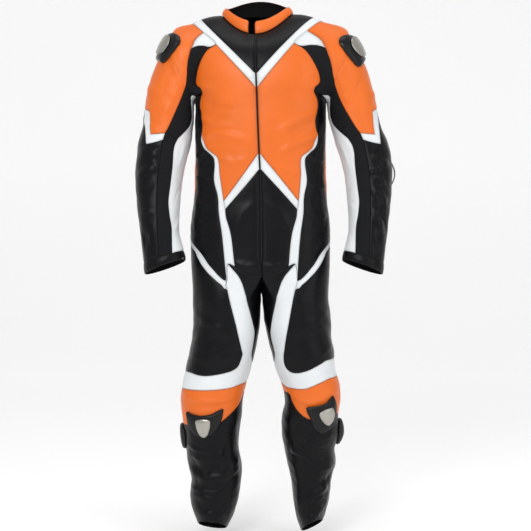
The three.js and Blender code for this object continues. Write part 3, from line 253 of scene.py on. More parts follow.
@dataclass
class Folds:
    """The folds of one surface, as paths of turn and distance."""

    scale: float
    folds: list[tuple[Fold, Array]] = field(default_factory=list)

    def rise(self, turn: Array, at: Array, side: int) -> Array:
        """Add up how far the folds lift the cloth at each place.

        Args:
            turn: degrees round the surface.
            at: distance down the surface, in millimetres.
            side: which side's folds are wanted.

        Returns:
            The rise in millimetres.
        """
        total = np.zeros(len(turn))
        for fold, path in self.folds:
            if fold.side != side:
                continue
            middle = path[:, 0].mean()
            near = (turn - middle + 180) % 360 - 180 + middle
            spots = np.column_stack([near * self.scale, at])
            far, along = distance_to(path * (self.scale, 1), spots)
            ends = np.minimum(1, np.minimum(along, 1 - along) * 4)
            total += fold.deep * np.exp(-((far / fold.wide) ** 2)) * (0.25 + 0.75 * ends)
        return total


BROAD_SLEEVE_FOLDS = (
    Fold(LEFT, 5, 11, ((292, -352), (312, -366), (330, -372))),
    Fold(LEFT, 5, 10, ((288, -398), (306, -408), (318, -430))),
    Fold(LEFT, 5, 10, ((290, -428), (310, -452), (322, -480))),
    Fold(LEFT, 4, 10, ((288, -486), (300, -520), (312, -556))),
    Fold(RIGHT, 5, 11, ((272, -352), (296, -338), (330, -330))),
    Fold(RIGHT, 4, 12, ((282, -372), (310, -388), (334, -400))),
    Fold(RIGHT, -5, 14, ((300, -560), (318, -572))),
)
BROAD_LEG_FOLDS = (
    Fold(RIGHT, 7, 13, ((186, -1190), (145, -1203), (109, -1196), (76, -1172), (66, -1150))),
    Fold(RIGHT, -7, 15, ((194, -1168), (150, -1178), (112, -1170))),
    Fold(RIGHT, 5, 11, ((142, -1160), (116, -1150), (102, -1126))),
    Fold(RIGHT, 5, 13, ((176, -1248), (140, -1256), (112, -1268))),
    Fold(RIGHT, 4, 12, ((160, -1300), (130, -1308), (100, -1296))),
    Fold(LEFT, 6, 12, ((78, -1122), (104, -1140), (130, -1158))),
    Fold(LEFT, 6, 12, ((106, -1098), (128, -1118), (150, -1144))),
    Fold(LEFT, 6, 13, ((178, -1220), (150, -1236), (112, -1266))),
    Fold(LEFT, -6, 14, ((186, -1200), (150, -1212))),
    Fold(LEFT, 5, 11, ((164, -1290), (140, -1306), (112, -1312))),
)
FINE_SLEEVE_FOLDS = (
    Fold(RIGHT, 2.6, 7, ((318, -150), (296, -168), (270, -176))),
    Fold(RIGHT, 2.4, 7, ((322, -236), (304, -262), (278, -280))),
    Fold(LEFT, 2.6, 7, ((322, -172), (300, -180), (276, -176))),
    Fold(RIGHT, 2.2, 6, ((206, -300), (216, -336), (224, -372))),
    Fold(LEFT, 2.2, 6, ((204, -306), (216, -340), (226, -378))),
    Fold(RIGHT, 3.0, 4.8, ((262, -330), (276, -326), (292, -334))),
    Fold(RIGHT, 2.4, 4.8, ((300, -352), (282, -372), (270, -384))),
    Fold(RIGHT, -2.2, 5.7, ((286, -420), (300, -436), (322, -440))),
    Fold(RIGHT, 2.7, 5.7, ((290, -500), (306, -492), (324, -498))),
    Fold(RIGHT, -2.1, 4.8, ((212, -420), (228, -440), (236, -468))),
    Fold(RIGHT, 2.7, 5.7, ((214, -500), (228, -520), (236, -544))),
    Fold(RIGHT, 2.7, 8.5, ((196, -120), (214, -170), (240, -214), (262, -240))),
    Fold(RIGHT, -2.4, 8.5, ((250, -70), (236, -120), (262, -170))),
    Fold(RIGHT, 2.4, 7.6, ((300, -170), (286, -206), (292, -240))),
    Fold(LEFT, 2.7, 8.5, ((200, -120), (222, -176), (250, -226))),
    Fold(LEFT, -2.4, 7.6, ((286, -120), (262, -150), (250, -190))),
    Fold(LEFT, 2.4, 7.6, ((312, -200), (296, -230), (300, -262))),
    Fold(LEFT, 3.3, 4.8, ((304, -330), (296, -342), (290, -352))),
    Fold(LEFT, 3.3, 4.8, ((283, -366), (296, -384), (284, -390), (306, -396))),
    Fold(LEFT, 3.0, 4.8, ((300, -442), (288, -446), (304, -478))),
    Fold(LEFT, 3.0, 4.8, ((290, -490), (318, -492))),
    Fold(LEFT, -2.7, 4.8, ((296, -500), (318, -520), (322, -548))),
    Fold(LEFT, 2.7, 4.8, ((290, -560), (300, -588), (294, -604))),
    Fold(LEFT, 2.2, 5.7, ((214, -452), (228, -474), (240, -486))),
)
FINE_LEG_FOLDS = (
    Fold(LEFT, 3.4, 5, ((118, -1078), (136, -1092), (158, -1098), (182, -1088))),
    Fold(LEFT, 3.0, 5, ((104, -1090), (122, -1104), (150, -1112), (178, -1108))),
    Fold(RIGHT, 3.0, 5, ((196, -1110), (176, -1122), (150, -1128), (126, -1120))),
    Fold(RIGHT, 2.6, 5, ((186, -1142), (160, -1150), (132, -1144))),
    Fold(RIGHT, 3.0, 6, ((204, -976), (174, -990), (143, -995), (104, -992), (69, -986))),
    Fold(RIGHT, -2.4, 5, ((203, -1001), (157, -1009), (120, -1006), (84, -998))),
    Fold(RIGHT, 1.8, 5, ((190, -1016), (160, -1020), (130, -1014))),
    Fold(LEFT, 3.0, 6, ((80, -982), (108, -996), (134, -998), (172, -978), (204, -955))),
    Fold(LEFT, -2.4, 5, ((86, -1002), (120, -1010), (150, -1006), (194, -982))),
    Fold(LEFT, 1.8, 5, ((176, -990), (190, -976), (204, -970))),
    Fold(RIGHT, 4.0, 4.8, ((100, -1146), (112, -1172), (142, -1188))),
    Fold(RIGHT, 3.4, 4.8, ((98, -1114), (108, -1132), (120, -1146))),
    Fold(RIGHT, -3.1, 4.8, ((66, -1158), (84, -1180), (118, -1192))),
    Fold(RIGHT, 3.1, 4.8, ((146, -1256), (120, -1272), (116, -1288))),
    Fold(RIGHT, 2.8, 4.8, ((152, -1296), (120, -1296))),
    Fold(RIGHT, 2.8, 5.7, ((190, -1228), (160, -1236), (130, -1240), (96, -1230))),
    Fold(RIGHT, 2.3, 4.8, ((142, -1312), (130, -1320))),
    Fold(RIGHT, 2.0, 8, ((190, -868), (150, -886), (100, -884), (66, -870))),
    Fold(LEFT, 4.0, 4.8, ((112, -1107), (131, -1126), (134, -1132))),
    Fold(LEFT, 3.7, 4.8, ((136, -1126), (158, -1150))),
    Fold(LEFT, -3.4, 4.8, ((77, -1135), (109, -1147), (136, -1168))),
    Fold(LEFT, 3.7, 4.8, ((168, -1228), (134, -1255), (117, -1275))),
    Fold(LEFT, 3.1, 4.8, ((165, -1250), (138, -1272))),
    Fold(LEFT, 3.1, 4.8, ((139, -1278), (140, -1310))),
    Fold(LEFT, 2.8, 5.7, ((186, -1172), (150, -1180), (120, -1172))),
    Fold(LEFT, 2.0, 8, ((186, -840), (150, -872), (100, -886), (70, -874))),
    Fold(LEFT, 2.0, 9, ((20, -700), (44, -722), (80, -716))),
    Fold(RIGHT, 2.0, 9, ((20, -700), (44, -722), (80, -716))),
    Fold(RIGHT, 1.8, 10, ((176, -760), (120, -800), (70, -830))),
    Fold(LEFT, 1.8, 10, ((176, -750), (130, -790), (80, -820))),
)
FINE_BODY_FOLDS = (
    Fold(RIGHT, -1.3, 2.5, ((11, -178), (11, -354))),
    Fold(LEFT, -1.3, 2.5, ((11, -178), (11, -354))),
    Fold(RIGHT, -1.0, 2.5, ((11, -398), (11, -618))),
    Fold(LEFT, -1.0, 2.5, ((11, -398), (11, -618))),
    Fold(RIGHT, 4.7, 8.0, ((167, -152), (150, -162), (116, -165))),
    Fold(RIGHT, 4.7, 8.8, ((158, -238), (123, -260), (76, -270))),
    Fold(RIGHT, 5.3, 8.8, ((150, -300), (116, -287), (69, -297), (35, -307))),
    Fold(RIGHT, 4.0, 9.6, ((110, -351), (69, -365), (35, -358))),
    Fold(RIGHT, -3.1, 8.0, ((140, -206), (100, -220), (60, -222))),
    Fold(LEFT, 4.7, 8.0, ((164, -158), (140, -168), (110, -164))),
    Fold(LEFT, 5.3, 8.8, ((161, -230), (120, -243), (80, -270), (53, -287))),
    Fold(LEFT, 5.6, 8.8, ((160, -287), (127, -304), (80, -324), (53, -351))),
    Fold(LEFT, -3.4, 8.0, ((150, -258), (110, -276), (70, -302))),
    Fold(LEFT, 3.7, 9.6, ((100, -392), (70, -384), (40, -372))),
    Fold(RIGHT, 4.0, 8.0, ((172, -340), (150, -352), (128, -350))),
    Fold(RIGHT, 4.0, 8.0, ((174, -400), (150, -404), (130, -398))),
    Fold(RIGHT, 3.4, 8.0, ((176, -470), (150, -476), (124, -466))),
    Fold(LEFT, 4.0, 8.0, ((172, -350), (150, -358), (128, -348))),
    Fold(LEFT, 3.7, 8.0, ((174, -420), (150, -430), (126, -424))),
    Fold(LEFT, 3.4, 8.0, ((178, -500), (150, -508), (120, -500))),
    Fold(RIGHT, 3.4, 7.2, ((70, -628), (40, -640), (8, -636))),
    Fold(LEFT, 3.4, 7.2, ((70, -628), (40, -640), (8, -636))),
    Fold(RIGHT, 2.8, 9.6, ((20, -470), (50, -500), (80, -560))),
    Fold(LEFT, 2.8, 9.6, ((20, -470), (50, -500), (80, -560))),
)


class Ripples:
    """Soft uneven waves of worn leather, the same on every run."""

    def __init__(self, seed: int, size: float, count: int = 14) -> None:
        """Draw the waves.

        Args:
            seed: which set of waves.
            size: their usual length in millimetres.
            count: how many waves are added.
        """
        chance = np.random.default_rng(seed)
        ways = chance.normal(size=(count, 3))
        ways /= np.linalg.norm(ways, axis=1)[:, None]
        lengths = size * np.exp(chance.uniform(-0.6, 0.6, count))
        self.ways = ways * (2 * math.pi / lengths)[:, None]
        self.starts = chance.uniform(0, 2 * math.pi, count)

    def __call__(self, points: Array) -> Array:
        """Read the waves at points in millimetres, from about -1 to 1."""
        bent = points + 9 * np.sin(points[:, [1, 2, 0]] / 31.0 + 1.7)
        waves = np.sin(bent @ self.ways.T + self.starts)
        return waves.mean(axis=1) * math.sqrt(len(self.starts)) * 0.7


class Surface:
    """A worn surface that gives a point for a turn in degrees and a distance down it."""

    hand = 1.0
    scale = 2.4
    turns = (0.0, 90.0)
    ats = (0.0, 700.0)

    def __init__(self) -> None:
        """Start without creases."""
        self.creases = Folds(self.scale)

    def point(self, turn: Array, at: Array, side: int) -> Array:
        """Give points in millimetres; the even side 0 is the one that front sizes refer to."""
        raise NotImplementedError

    def normal(self, turn: Array, at: Array, side: int) -> Array:
        """Give the outward directions at the same places."""
        across = self.point(turn + 0.6, at, side) - self.point(turn - 0.6, at, side)
        down = self.point(turn, at + 1.5, side) - self.point(turn, np.maximum(at - 1.5, 0), side)
        out = np.cross(across, down) * self.hand * (side or 1)
        return out / np.maximum(np.linalg.norm(out, axis=1), 1e-9)[:, None]

    def solve(self, rows: Sequence[Sequence[float]]) -> Array:
        """Find where the surface shows at places measured from the front.

        Args:
            rows: x and z in front millimetres.

        Returns:
            Turn and distance for each row.
        """
        wanted = np.array([row[:2] for row in rows], float)
        us, vs = np.linspace(*self.turns, 25), np.linspace(*self.ats, 41)
        grid = np.array([(u, v) for u in us for v in vs])
        seen = self.point(grid[:, 0], grid[:, 1], EVEN)[:, [0, 2]]
        best = grid[np.argmin(((wanted[:, None] - seen[None]) ** 2).sum(2), axis=1)]
        step = np.array([us[1] - us[0], vs[1] - vs[0]])[None] * np.ones((len(wanted), 1))
        moves = np.array([(a, b) for a in (-1, 0, 1) for b in (-1, 0, 1)])
        for _ in range(60):
            tries = best[:, None] + moves[None] * step[:, None]
            tries[..., 0] = np.clip(tries[..., 0], *self.turns)
            tries[..., 1] = np.clip(tries[..., 1], *self.ats)
            flat = tries.reshape(-1, 2)
            seen = self.point(flat[:, 0], flat[:, 1], EVEN)[:, [0, 2]].reshape(len(wanted), 9, 2)
            miss = ((seen - wanted[:, None]) ** 2).sum(2)
            pick = np.argmin(miss + 1e-9 * (np.abs(moves).sum(1) > 0), axis=1)
            best = tries[np.arange(len(wanted)), pick]
            step[pick == 4] *= 0.6
        return best

    def crease(self, folds: Sequence[Fold]) -> None:
        """Lay creases on the surface from their front paths."""
        for fold in folds:
            self.creases.folds.append((fold, self.solve(fold.path)))


def turned(point: Array, side: int) -> Array:
    """Mirror to a side, then turn and shift with the stance of the figure."""
    if side == EVEN:
        return point
    twist = TWIST(np.clip(-point[:, 2], 0, 800))
    angle = np.radians(twist[:, 0])
    x, y = point[:, 0] * side, point[:, 1]
    cos, sin = np.cos(angle), np.sin(angle)
    return np.column_stack([x * cos - y * sin + twist[:, 1], x * sin + y * cos, point[:, 2]])


TWIST = Table(TWIST_ROWS)


class Body(Surface):
    """The trunk, from the neck seam to the hips. Turn 0 is the centre front, 180 the back."""

    hand = -1.0
    scale = 2.4
    turns = (0.0, 90.0)
    ats = (NECK, 700.0)
    rows = Table(BODY_ROWS)

    def point(self, turn: Array, at: Array, side: int) -> Array:
        """Give points in millimetres."""
        level, front, behind, half, fore, aft, square = self.rows(at).T
        c, s = np.cos(np.radians(turn)), np.sin(np.radians(turn))
        x = half * signed_power(s, 2 / square)
        y = -np.where(c > 0, fore, aft) * signed_power(c, 2 / square)
        z = level + (np.where(c > 0, front, behind) - level) * c * c
        return turned(np.column_stack([x, y, z]), side)


class Tube(Surface):
    """A sleeve or leg: rings down a limb, joined smoothly to the seam where it is sewn on."""

    first = 0.0

    def __init__(self, body: Body) -> None:
        """Keep the trunk that the tube is sewn to."""
        self.body = body
        self.broad = Folds(self.scale)
        super().__init__()

    def root(self, turn: Array, side: int) -> Array:
        """Give points on the seam where the tube is sewn on."""
        raise NotImplementedError

    def ring(self, turn: Array, at: Array, side: int) -> Array:
        """Give points on the rings."""
        raise NotImplementedError

    def point(self, turn: Array, at: Array, side: int) -> Array:
        """Give points in millimetres."""
        out = self.ring(turn, at, side)
        near = at < self.first
        if near.any():
            turn, at = turn[near], np.maximum(at[near], 0)
            full = np.full(len(turn), self.first)
            start, end = self.root(turn, side), self.ring(turn, full, side)
            along = (self.ring(turn, full + 1, side) - end) * self.first
            t = (at / self.first)[:, None]
            out[near] = (
                (2 * t**3 - 3 * t**2 + 1) * start + (t**3 - 2 * t**2 + t) * (end - start)
                + (3 * t**2 - 2 * t**3) * end + (t**3 - t**2) * along
            )
        return out

    def bend(self, folds: Sequence[Fold]) -> None:
        """Lay the broad folds that the frame's solids have too."""
        self.broad.folds += [(fold, self.solve(fold.path)) for fold in folds]

    def circle(self, turn: Array) -> tuple[Array, Array]:
        """Give the rounded square's cosine and sine."""
        c, s = np.cos(np.radians(turn)), np.sin(np.radians(turn))
        return signed_power(c, 0.92), signed_power(s, 0.92)


class Sleeve(Tube):
    """A sleeve. Turn 0 is its outer edge, 90 its front, 180 its inner edge."""

    hand = 1.0
    scale = 1.15
    first = 45.0
    turns = (-8.0, 188.0)
    ats = (0.0, CUFF_END)
    rows = Table(SLEEVE_ROWS)

    def __init__(self, body: Body) -> None:
        """Work out the raglan seam on the trunk."""
        super().__init__(body)
        places = body.solve([row[1:] for row in RAGLAN_FRONT])
        front = [(row[0], *place) for row, place in zip(RAGLAN_FRONT, places)]
        self.seam = Table([(0, 90, 90), *front, *RAGLAN_BACK])

    def on_seam(self, turn: Array) -> Array:
        """Give the trunk's turn and distance along the raglan seam."""
        return self.seam(np.mod(turn, 360))

    def root(self, turn: Array, side: int) -> Array:
        """Give points on the raglan seam."""
        spot = self.on_seam(turn)
        return self.body.point(spot[:, 0], spot[:, 1], side)

    def ring(self, turn: Array, at: Array, side: int) -> Array:
        """Give points on the rings."""
        out_x, out_z, in_x, in_z, y, deep = self.rows(at).T
        c, s = self.circle(turn)
        rise = self.broad.rise(turn, at, side)
        x = (out_x + in_x) / 2 + ((out_x - in_x) / 2 + rise) * c
        z = (out_z + in_z) / 2 + (out_z - in_z) / 2 * c
        t = np.clip((-z - ARM_SHIFT_FROM) / (ARM_SHIFT_TO - ARM_SHIFT_FROM), 0, 1)
        shift = abs(side) * ARM_SHIFT_BY * t * t * (3 - 2 * t)
        z = z + CUFF_TILT * s * smooth_step(at, CUFF_TILT_FROM, CUFF_END)
        return np.column_stack([(side or 1) * x + shift, y - (deep + rise) * s, z])


class Leg(Tube):
    """A leg. Turn 0 is its outer edge, 90 its front, 180 its inner edge."""

    hand = 1.0
    scale = 1.5
    first = 75.0
    turns = (-8.0, 188.0)
    ats = (0.0, HEM)
    rows = Table(LEG_ROWS)

    def __init__(self, body: Body) -> None:
        """Work out the hip seam on the trunk."""
        super().__init__(body)
        places = body.solve([row[1:] for row in HIP_FRONT])
        front = [(row[0], *place) for row, place in zip(HIP_FRONT, places)]
        self.seam_front = Table([(0, 90, 556), *front, (CROTCH_FROM, 0, -CROTCH_FRONT[1])])
        self.seam_back = Table(HIP_BACK)

    def on_seam(self, turn: Array) -> Array:
        """Give the trunk's turn and distance along the hip seam."""
        turn = np.mod(turn, 360)
        ahead = (turn <= CROTCH_FROM)[:, None]
        return np.where(ahead, self.seam_front(turn), self.seam_back(turn))

    def root(self, turn: Array, side: int) -> Array:
        """Give points on the hip seam, and through the crotch between the legs."""
        spot = self.on_seam(turn)
        out = self.body.point(spot[:, 0], spot[:, 1], side)
        round_turn = np.mod(turn, 360)
        inside = (round_turn > CROTCH_FROM) & (round_turn < CROTCH_TO)
        t = (round_turn[inside] - CROTCH_FROM) / (CROTCH_TO - CROTCH_FROM)
        y = CROTCH_FRONT[0] + (CROTCH_BACK[0] - CROTCH_FRONT[0]) * t
        z = CROTCH_FRONT[1] + (CROTCH_BACK[1] - CROTCH_FRONT[1]) * t - CROTCH_DIP * np.sin(math.pi * t)
        out[inside] = turned(np.column_stack([0 * t, y, z]), side)
        return out

    def ring(self, turn: Array, at: Array, side: int) -> Array:
        """Give points on the rings, which differ a little between the legs."""
        z, out_r, in_r, out_l, in_l, y, deep = self.rows(at).T
        share = (side + 1) / 2
        outer, inner = out_r + (out_l - out_r) * share, in_r + (in_l - in_r) * share
        c, s = self.circle(turn)
        rise = self.broad.rise(turn, at, side)
        x = (outer + inner) / 2 + ((outer - inner) / 2 + rise) * c
        shift = abs(side) * TWIST(np.clip(-z, 0, 800))[:, 1]
        z = z + (HEM_TILT * s + HEM_LEAN[side] * c) * smooth_step(at, HEM_TILT_FROM, HEM)
        return np.column_stack([(side or 1) * x + shift, y - (deep + rise) * s, z])


class CollarBand(Surface):
    """The stand collar, from its top edge at 0 to the neck seam."""

    hand = -1.0
    scale = 1.5
    height = 38.0
    half, fore, aft = 85.0, 60.0, 60.0
    side_top, front_top, back_top = 60.0, 14.0, 88.0

    def __init__(self, body: Body) -> None:
        """Keep the trunk whose neck seam the collar stands on."""
        self.body = body
        super().__init__()

    def point(self, turn: Array, at: Array, side: int) -> Array:
        """Give points in millimetres."""
        foot = self.body.point(turn, np.full(len(turn), NECK), EVEN)
        c, s = np.cos(np.radians(turn)), np.sin(np.radians(turn))
        end = np.where(c > 0, self.front_top, self.back_top)
        z = self.side_top + (end - self.side_top) * c * c
        top = np.column_stack([self.half * s, -np.where(c > 0, self.fore, self.aft) * c, z])
        share = (1 - at / self.height)[:, None]
        bow = 2.5 * np.sin(math.pi * np.clip(share, 0, 1))
        out = foot + (top - foot) * share
        out[:, :2] += bow * np.column_stack([s, -c])
        return turned(out, side)


@dataclass(frozen=True)
class Knot:
    """A place where pieces meet: its turn and distance, and where it shows from the front."""

    spot: tuple[float, float]
    front: tuple[float, float]


class SeamPlan:
    """Draws the seams of one surface."""

    def __init__(self, surface: Surface) -> None:
        """Keep the surface."""
        self.surface = surface

    def knot(self, turn: float, at: float) -> Knot:
        """Make a knot at a turn and distance."""
        p = self.surface.point(np.array([turn], float), np.array([at], float), EVEN)[0]
        return Knot((float(turn), float(at)), (float(p[0]), float(p[2])))

    def seen(self, x: float, z: float) -> Knot:
        """Make a knot at a place measured from the front."""
        return self.knot(*self.surface.solve([(x, z)])[0])

    def drawn(self, start: Knot, rows: Sequence[tuple[float, float]], end: Knot) -> Line:
        """Draw a seam between two knots through places measured from the front.

        Args:
            start: where the seam begins.
            rows: places in front millimetres, in order.
            end: where it ends.

        Returns:
            Turn and distance, closely spaced.
        """
        path = resampled(np.array([start.front, *rows, end.front], float), 20.0)
        inner = self.surface.solve(path[1:-1]) if len(path) > 2 else np.zeros((0, 2))
        return self.spaced(np.vstack([start.spot, inner, end.spot]))

    def straight(self, *spots: tuple[float, float]) -> Line:
        """Draw straight runs through turns and distances."""
        return self.spaced(np.array(spots, float), smooth=False)

    def curved(self, *spots: tuple[float, float]) -> Line:
        """Draw one rounded run through turns and distances."""
        return self.spaced(np.array(spots, float))

    def spaced(self, points: Array, step: float = 4.0, smooth: bool = True) -> Line:
        """Space points evenly, measured on the cloth."""
        scale = np.array([self.surface.scale, 1.0])
        return resampled(points * scale, step, smooth) / scale


def back(line: Line) -> Line:
    """Run a seam the other way."""
    return line[::-1]


def shifted(line: Line, by: float) -> Line:
    """Turn a seam by some degrees."""
    return line + (by, 0.0)


def mirrored(line: Line) -> Line:
    """Mirror a seam of the trunk to the other side of the centre back."""
    return np.column_stack([360 - line[:, 0], line[:, 1]])


def root_turns(start: float, end: float) -> Array:
    """Space turns along a seam where a tube is sewn on, with both ends exact."""
    count = max(2, int(abs(end - start) / 1.6))
    return np.linspace(start, end, count + 1)


class BodySeams(SeamPlan):
    """The seams of the trunk."""

    def __init__(self, body: Body, sleeve: Sleeve, leg: Leg) -> None:
        """Draw them all."""
        super().__init__(body)
        self.sleeve, self.leg = sleeve, leg
        arm, hip = ARM_KNOTS, LEG_KNOTS
        stripe_neck = self.knot(90, 62)
        armpit = self.knot(*sleeve.on_seam(np.array([arm["stripe"]]))[0])
        chest = self.knot(*sleeve.on_seam(np.array([arm["chest"]]))[0])
        waist, peak_top, peak_low = self.seen(154, -288), self.seen(99, -467), self.seen(95, -488)
        side = self.knot(*leg.on_seam(np.array([hip["side"]]))[0])
        belly = self.knot(*leg.on_seam(np.array([hip["belly"]]))[0])
        self.v_top = self.drawn(stripe_neck, [], self.at_zip(V_TOP))
        self.v_low = self.drawn(armpit, [], self.at_zip(V_LOW))
        self.chest_side = self.drawn(chest, [(158, -207), (151, -240), (151, -269)], waist)
        self.stripe_out = self.drawn(waist, [
            (155, -306), (146, -328), (121, -354), (123, -412), (114, -455), (112, -497), (103, -562),
        ], side)
        self.stripe_in = self.drawn(waist, [(139, -328), (111, -352), (107, -400)], peak_top)
        self.stripe_end = self.drawn(peak_top, [], peak_low)
        self.stripe_low = self.drawn(peak_low, [(93, -509), (80, -556)], belly)
        self.peak_top = self.drawn(peak_top, [], self.at_zip(PEAK_TOP))
        self.peak_low = self.drawn(peak_low, [], self.at_zip(PEAK_LOW))
        self.neck_front = self.straight((self.zip_turn(NECK), NECK), (90, NECK))
        self.neck_back = self.straight((90, NECK), (180, NECK))
        self.ridge_neck = self.straight((90, NECK), (90, 62))
        self.ridge_stripe = self.straight((90, 62), (90, 90))
        yoke = sleeve.on_seam(np.array([arm["yoke"]]))[0]
        self.yoke_back = self.curved(tuple(yoke), (160, YOKE_BACK), (180, YOKE_BACK))
        self.side_top = self.curved(
            (90, 205), (88, 300), (78, 365), (76, 395), (77, 430), (87, 462), (93, WAIST))
        end = leg.on_seam(np.array([hip["hip_end"]]))[0]
        self.side_low = self.curved((93, WAIST), (97, 530), tuple(end))
        self.waist_back = self.straight((93, WAIST), (180, WAIST))

    def zip_turn(self, at: float) -> float:
        """Give the turn of the zip's edge at a distance down the front."""
        half, square = self.surface.rows(np.array([at]))[0][[3, 6]]
        return math.degrees(math.asin((ZIP_HALF / half) ** (square / 2)))

    def at_zip(self, z: float) -> Knot:
        """Make a knot on the edge of the zip."""
        return self.knot(self.zip_turn(-z), -z)

    def zip_edge(self, top: float, low: float) -> Line:
        """Draw the edge of the zip between two heights."""
        levels = np.linspace(-top, -low, max(2, int((top - low) / 5)) + 1)
        return np.array([(self.zip_turn(at), at) for at in levels])

    def arm(self, start: float, end: float) -> Line:
        """Draw the raglan seam on the trunk between two turns of the sleeve."""
        return self.sleeve.on_seam(root_turns(start, end))

    def hip(self, start: float, end: float) -> Line:
        """Draw the hip seam on the trunk between two turns of the leg."""
        return self.leg.on_seam(root_turns(start, end))


class ArmSeams(SeamPlan):
    """The seams of a sleeve."""

    def __init__(self, sleeve: Sleeve) -> None:
        """Draw them all."""
        super().__init__(sleeve)
        gusset, tip = self.seen(177, -62), self.seen(258, -287)
        inside, high = self.seen(297, -289), self.seen(295, -228)
        peak, low = self.knot(2, 215), self.seen(311, -314)
        end, inner = self.seen(264, -304), self.seen(224, -300)
        arm = ARM_KNOTS
        self.gusset_out = self.drawn(self.knot(arm["gusset"], 0), [(156, -30), (167, -41)], gusset)
        self.gusset_low = self.drawn(self.knot(arm["stripe"], 0), [(124, -60), (149, -54)], gusset)
        self.cap = self.drawn(gusset, [
            (183, -80), (190, -107), (196, -155), (212, -200), (232, -242), (249, -274),
        ], tip)
        self.band_top = self.drawn(tip, [], inside)
        self.band_in = self.drawn(inside, [(296, -258)], high)
        self.band_peak = self.drawn(high, [], peak)
        self.band_out = self.drawn(peak, [(313, -245), (312, -280)], low)
        self.band_low = self.drawn(low, [(288, -311)], end)
        self.band_end = self.straight(end.spot, tip.spot)
        self.elbow = self.drawn(tip, [(240, -293)], inner)
        self.inner_top = self.curved(
            (arm["inner"], 0), (146, 30), (150, 64), (160, 115), (162, 180), (157, 225), (146, 258), inner.spot)
        low_turn = float(self.surface.solve([(240, -600)])[0][0])
        front_turn = float(self.surface.solve([(276, -612)])[0][0])
        self.inner_low = self.drawn(inner, [
            (233, -316), (238, -337), (240, -372), (246, -428), (250, -468), (246, -508), (241, -537),
        ], self.knot(low_turn, CUFF_TOP))
        self.front = self.drawn(end, [(275, -373), (280, -437), (279, -519)], self.knot(front_turn, CUFF_TOP))
        self.behind = self.curved(peak.spot, (-40, 225), (-100, 245), (ARM_BACK, 250))
        self.back_top = self.straight((ARM_BACK, 0), (ARM_BACK, 250))
        self.back_low = self.straight((ARM_BACK, 250), (ARM_BACK, CUFF_TOP))
        self.cuff_inner = self.straight((low_turn, CUFF_TOP), (arm["inner_back"], CUFF_TOP))
        self.cuff_front = self.straight((front_turn, CUFF_TOP), (low_turn, CUFF_TOP))
        self.cuff_outer = self.straight((ARM_BACK, CUFF_TOP), (front_turn, CUFF_TOP))

    def top(self, start: float, end: float) -> Line:
        """Draw the sewn-on edge between two turns."""
        turns = root_turns(start, end)
        return np.column_stack([turns, 0 * turns])


@dataclass(frozen=True)
class KneePlan:
    """Where one knee's panels and guards lie, in front millimetres."""

    thigh_low: tuple[tuple[float, float], ...]
    band_low: tuple[tuple[float, float], ...]
    knee_low: tuple[tuple[float, float], ...]
    cup: tuple[tuple[float, float], ...]
    insert: tuple[tuple[float, float], ...]
    slider: float


KNEES = {
    "right": KneePlan(
        thigh_low=((53, -871), (66, -905), (97, -919), (155, -927), (200, -916)),
        band_low=((50, -948), (90, -960), (154, -965), (212, -964)),
        knee_low=((53, -970), (63, -1002), (83, -1029), (115, -1054), (160, -1060), (208, -1061)),
        cup=((194, -1021), (180, -1028), (157, -1032), (134, -1028), (117, -1018), (103, -1011),
             (104, -1036), (113, -1062), (129, -1084), (152, -1094), (174, -1082), (190, -1062)),
        insert=((168, -1042), (151, -1038), (133, -1040), (133, -1059), (139, -1080), (148, -1089),
                (158, -1083), (165, -1067)),
        slider=430,
    ),
    "left": KneePlan(
        thigh_low=((54, -871), (57, -901), (78, -919), (115, -915), (155, -897), (189, -880)),
        band_low=((58, -958), (80, -961), (112, -961), (155, -945), (199, -929)),
        knee_low=((64, -971), (78, -1001), (100, -1026), (129, -1042), (165, -1040), (201, -1032)),
        cup=((115, -1009), (149, -1005), (170, -998), (187, -978), (195, -996), (198, -1040),
             (185, -1065), (154, -1081), (138, -1066), (131, -1039), (120, -1023)),
        insert=((149, -1023), (163, -1013), (182, -1007), (188, -1027), (184, -1046), (173, -1059),
                (164, -1053), (155, -1039)),
        slider=418,
    ),
}


SHOULDERS = {
    "right": (
        ((49, 33), (56, 34), (61, 35), (65, 39), (66, 45), (64, 57), (61, 69), (59, 79), (56, 90), (54, 97),
         (50, 103), (43, 106), (27, 107), (8, 110), (-14, 108), (-30, 98), (-36, 75), (-32, 57), (-20, 48),
         (0, 50), (20, 48), (36, 40)),
        ((47, 50), (50, 60), (46, 84), (36, 94), (22, 97), (0, 98), (-14, 92), (-22, 76), (-14, 62), (8, 58),
         (28, 53), (40, 47)),
    ),
    "left": (
        ((54, 33), (63, 35), (67, 38), (70, 44), (68, 55), (66, 67), (64, 79), (61, 91), (60, 98), (57, 105),
         (52, 111), (44, 114), (28, 113), (8, 112), (-14, 108), (-30, 98), (-36, 75), (-32, 58), (-20, 52),
         (0, 55), (20, 53), (36, 44), (46, 36)),
        ((50, 52), (53, 63), (49, 80), (43, 94), (34, 101), (14, 103), (-8, 98), (-20, 82), (-14, 66),
         (12, 61), (30, 55), (42, 50)),
    ),
}
SLEEVE_ARCS = {
    RIGHT: ((254, -60), (241, -80), (226, -108), (207, -142)),
    LEFT: ((244, -54), (232, -72), (216, -104), (197, -146)),
}


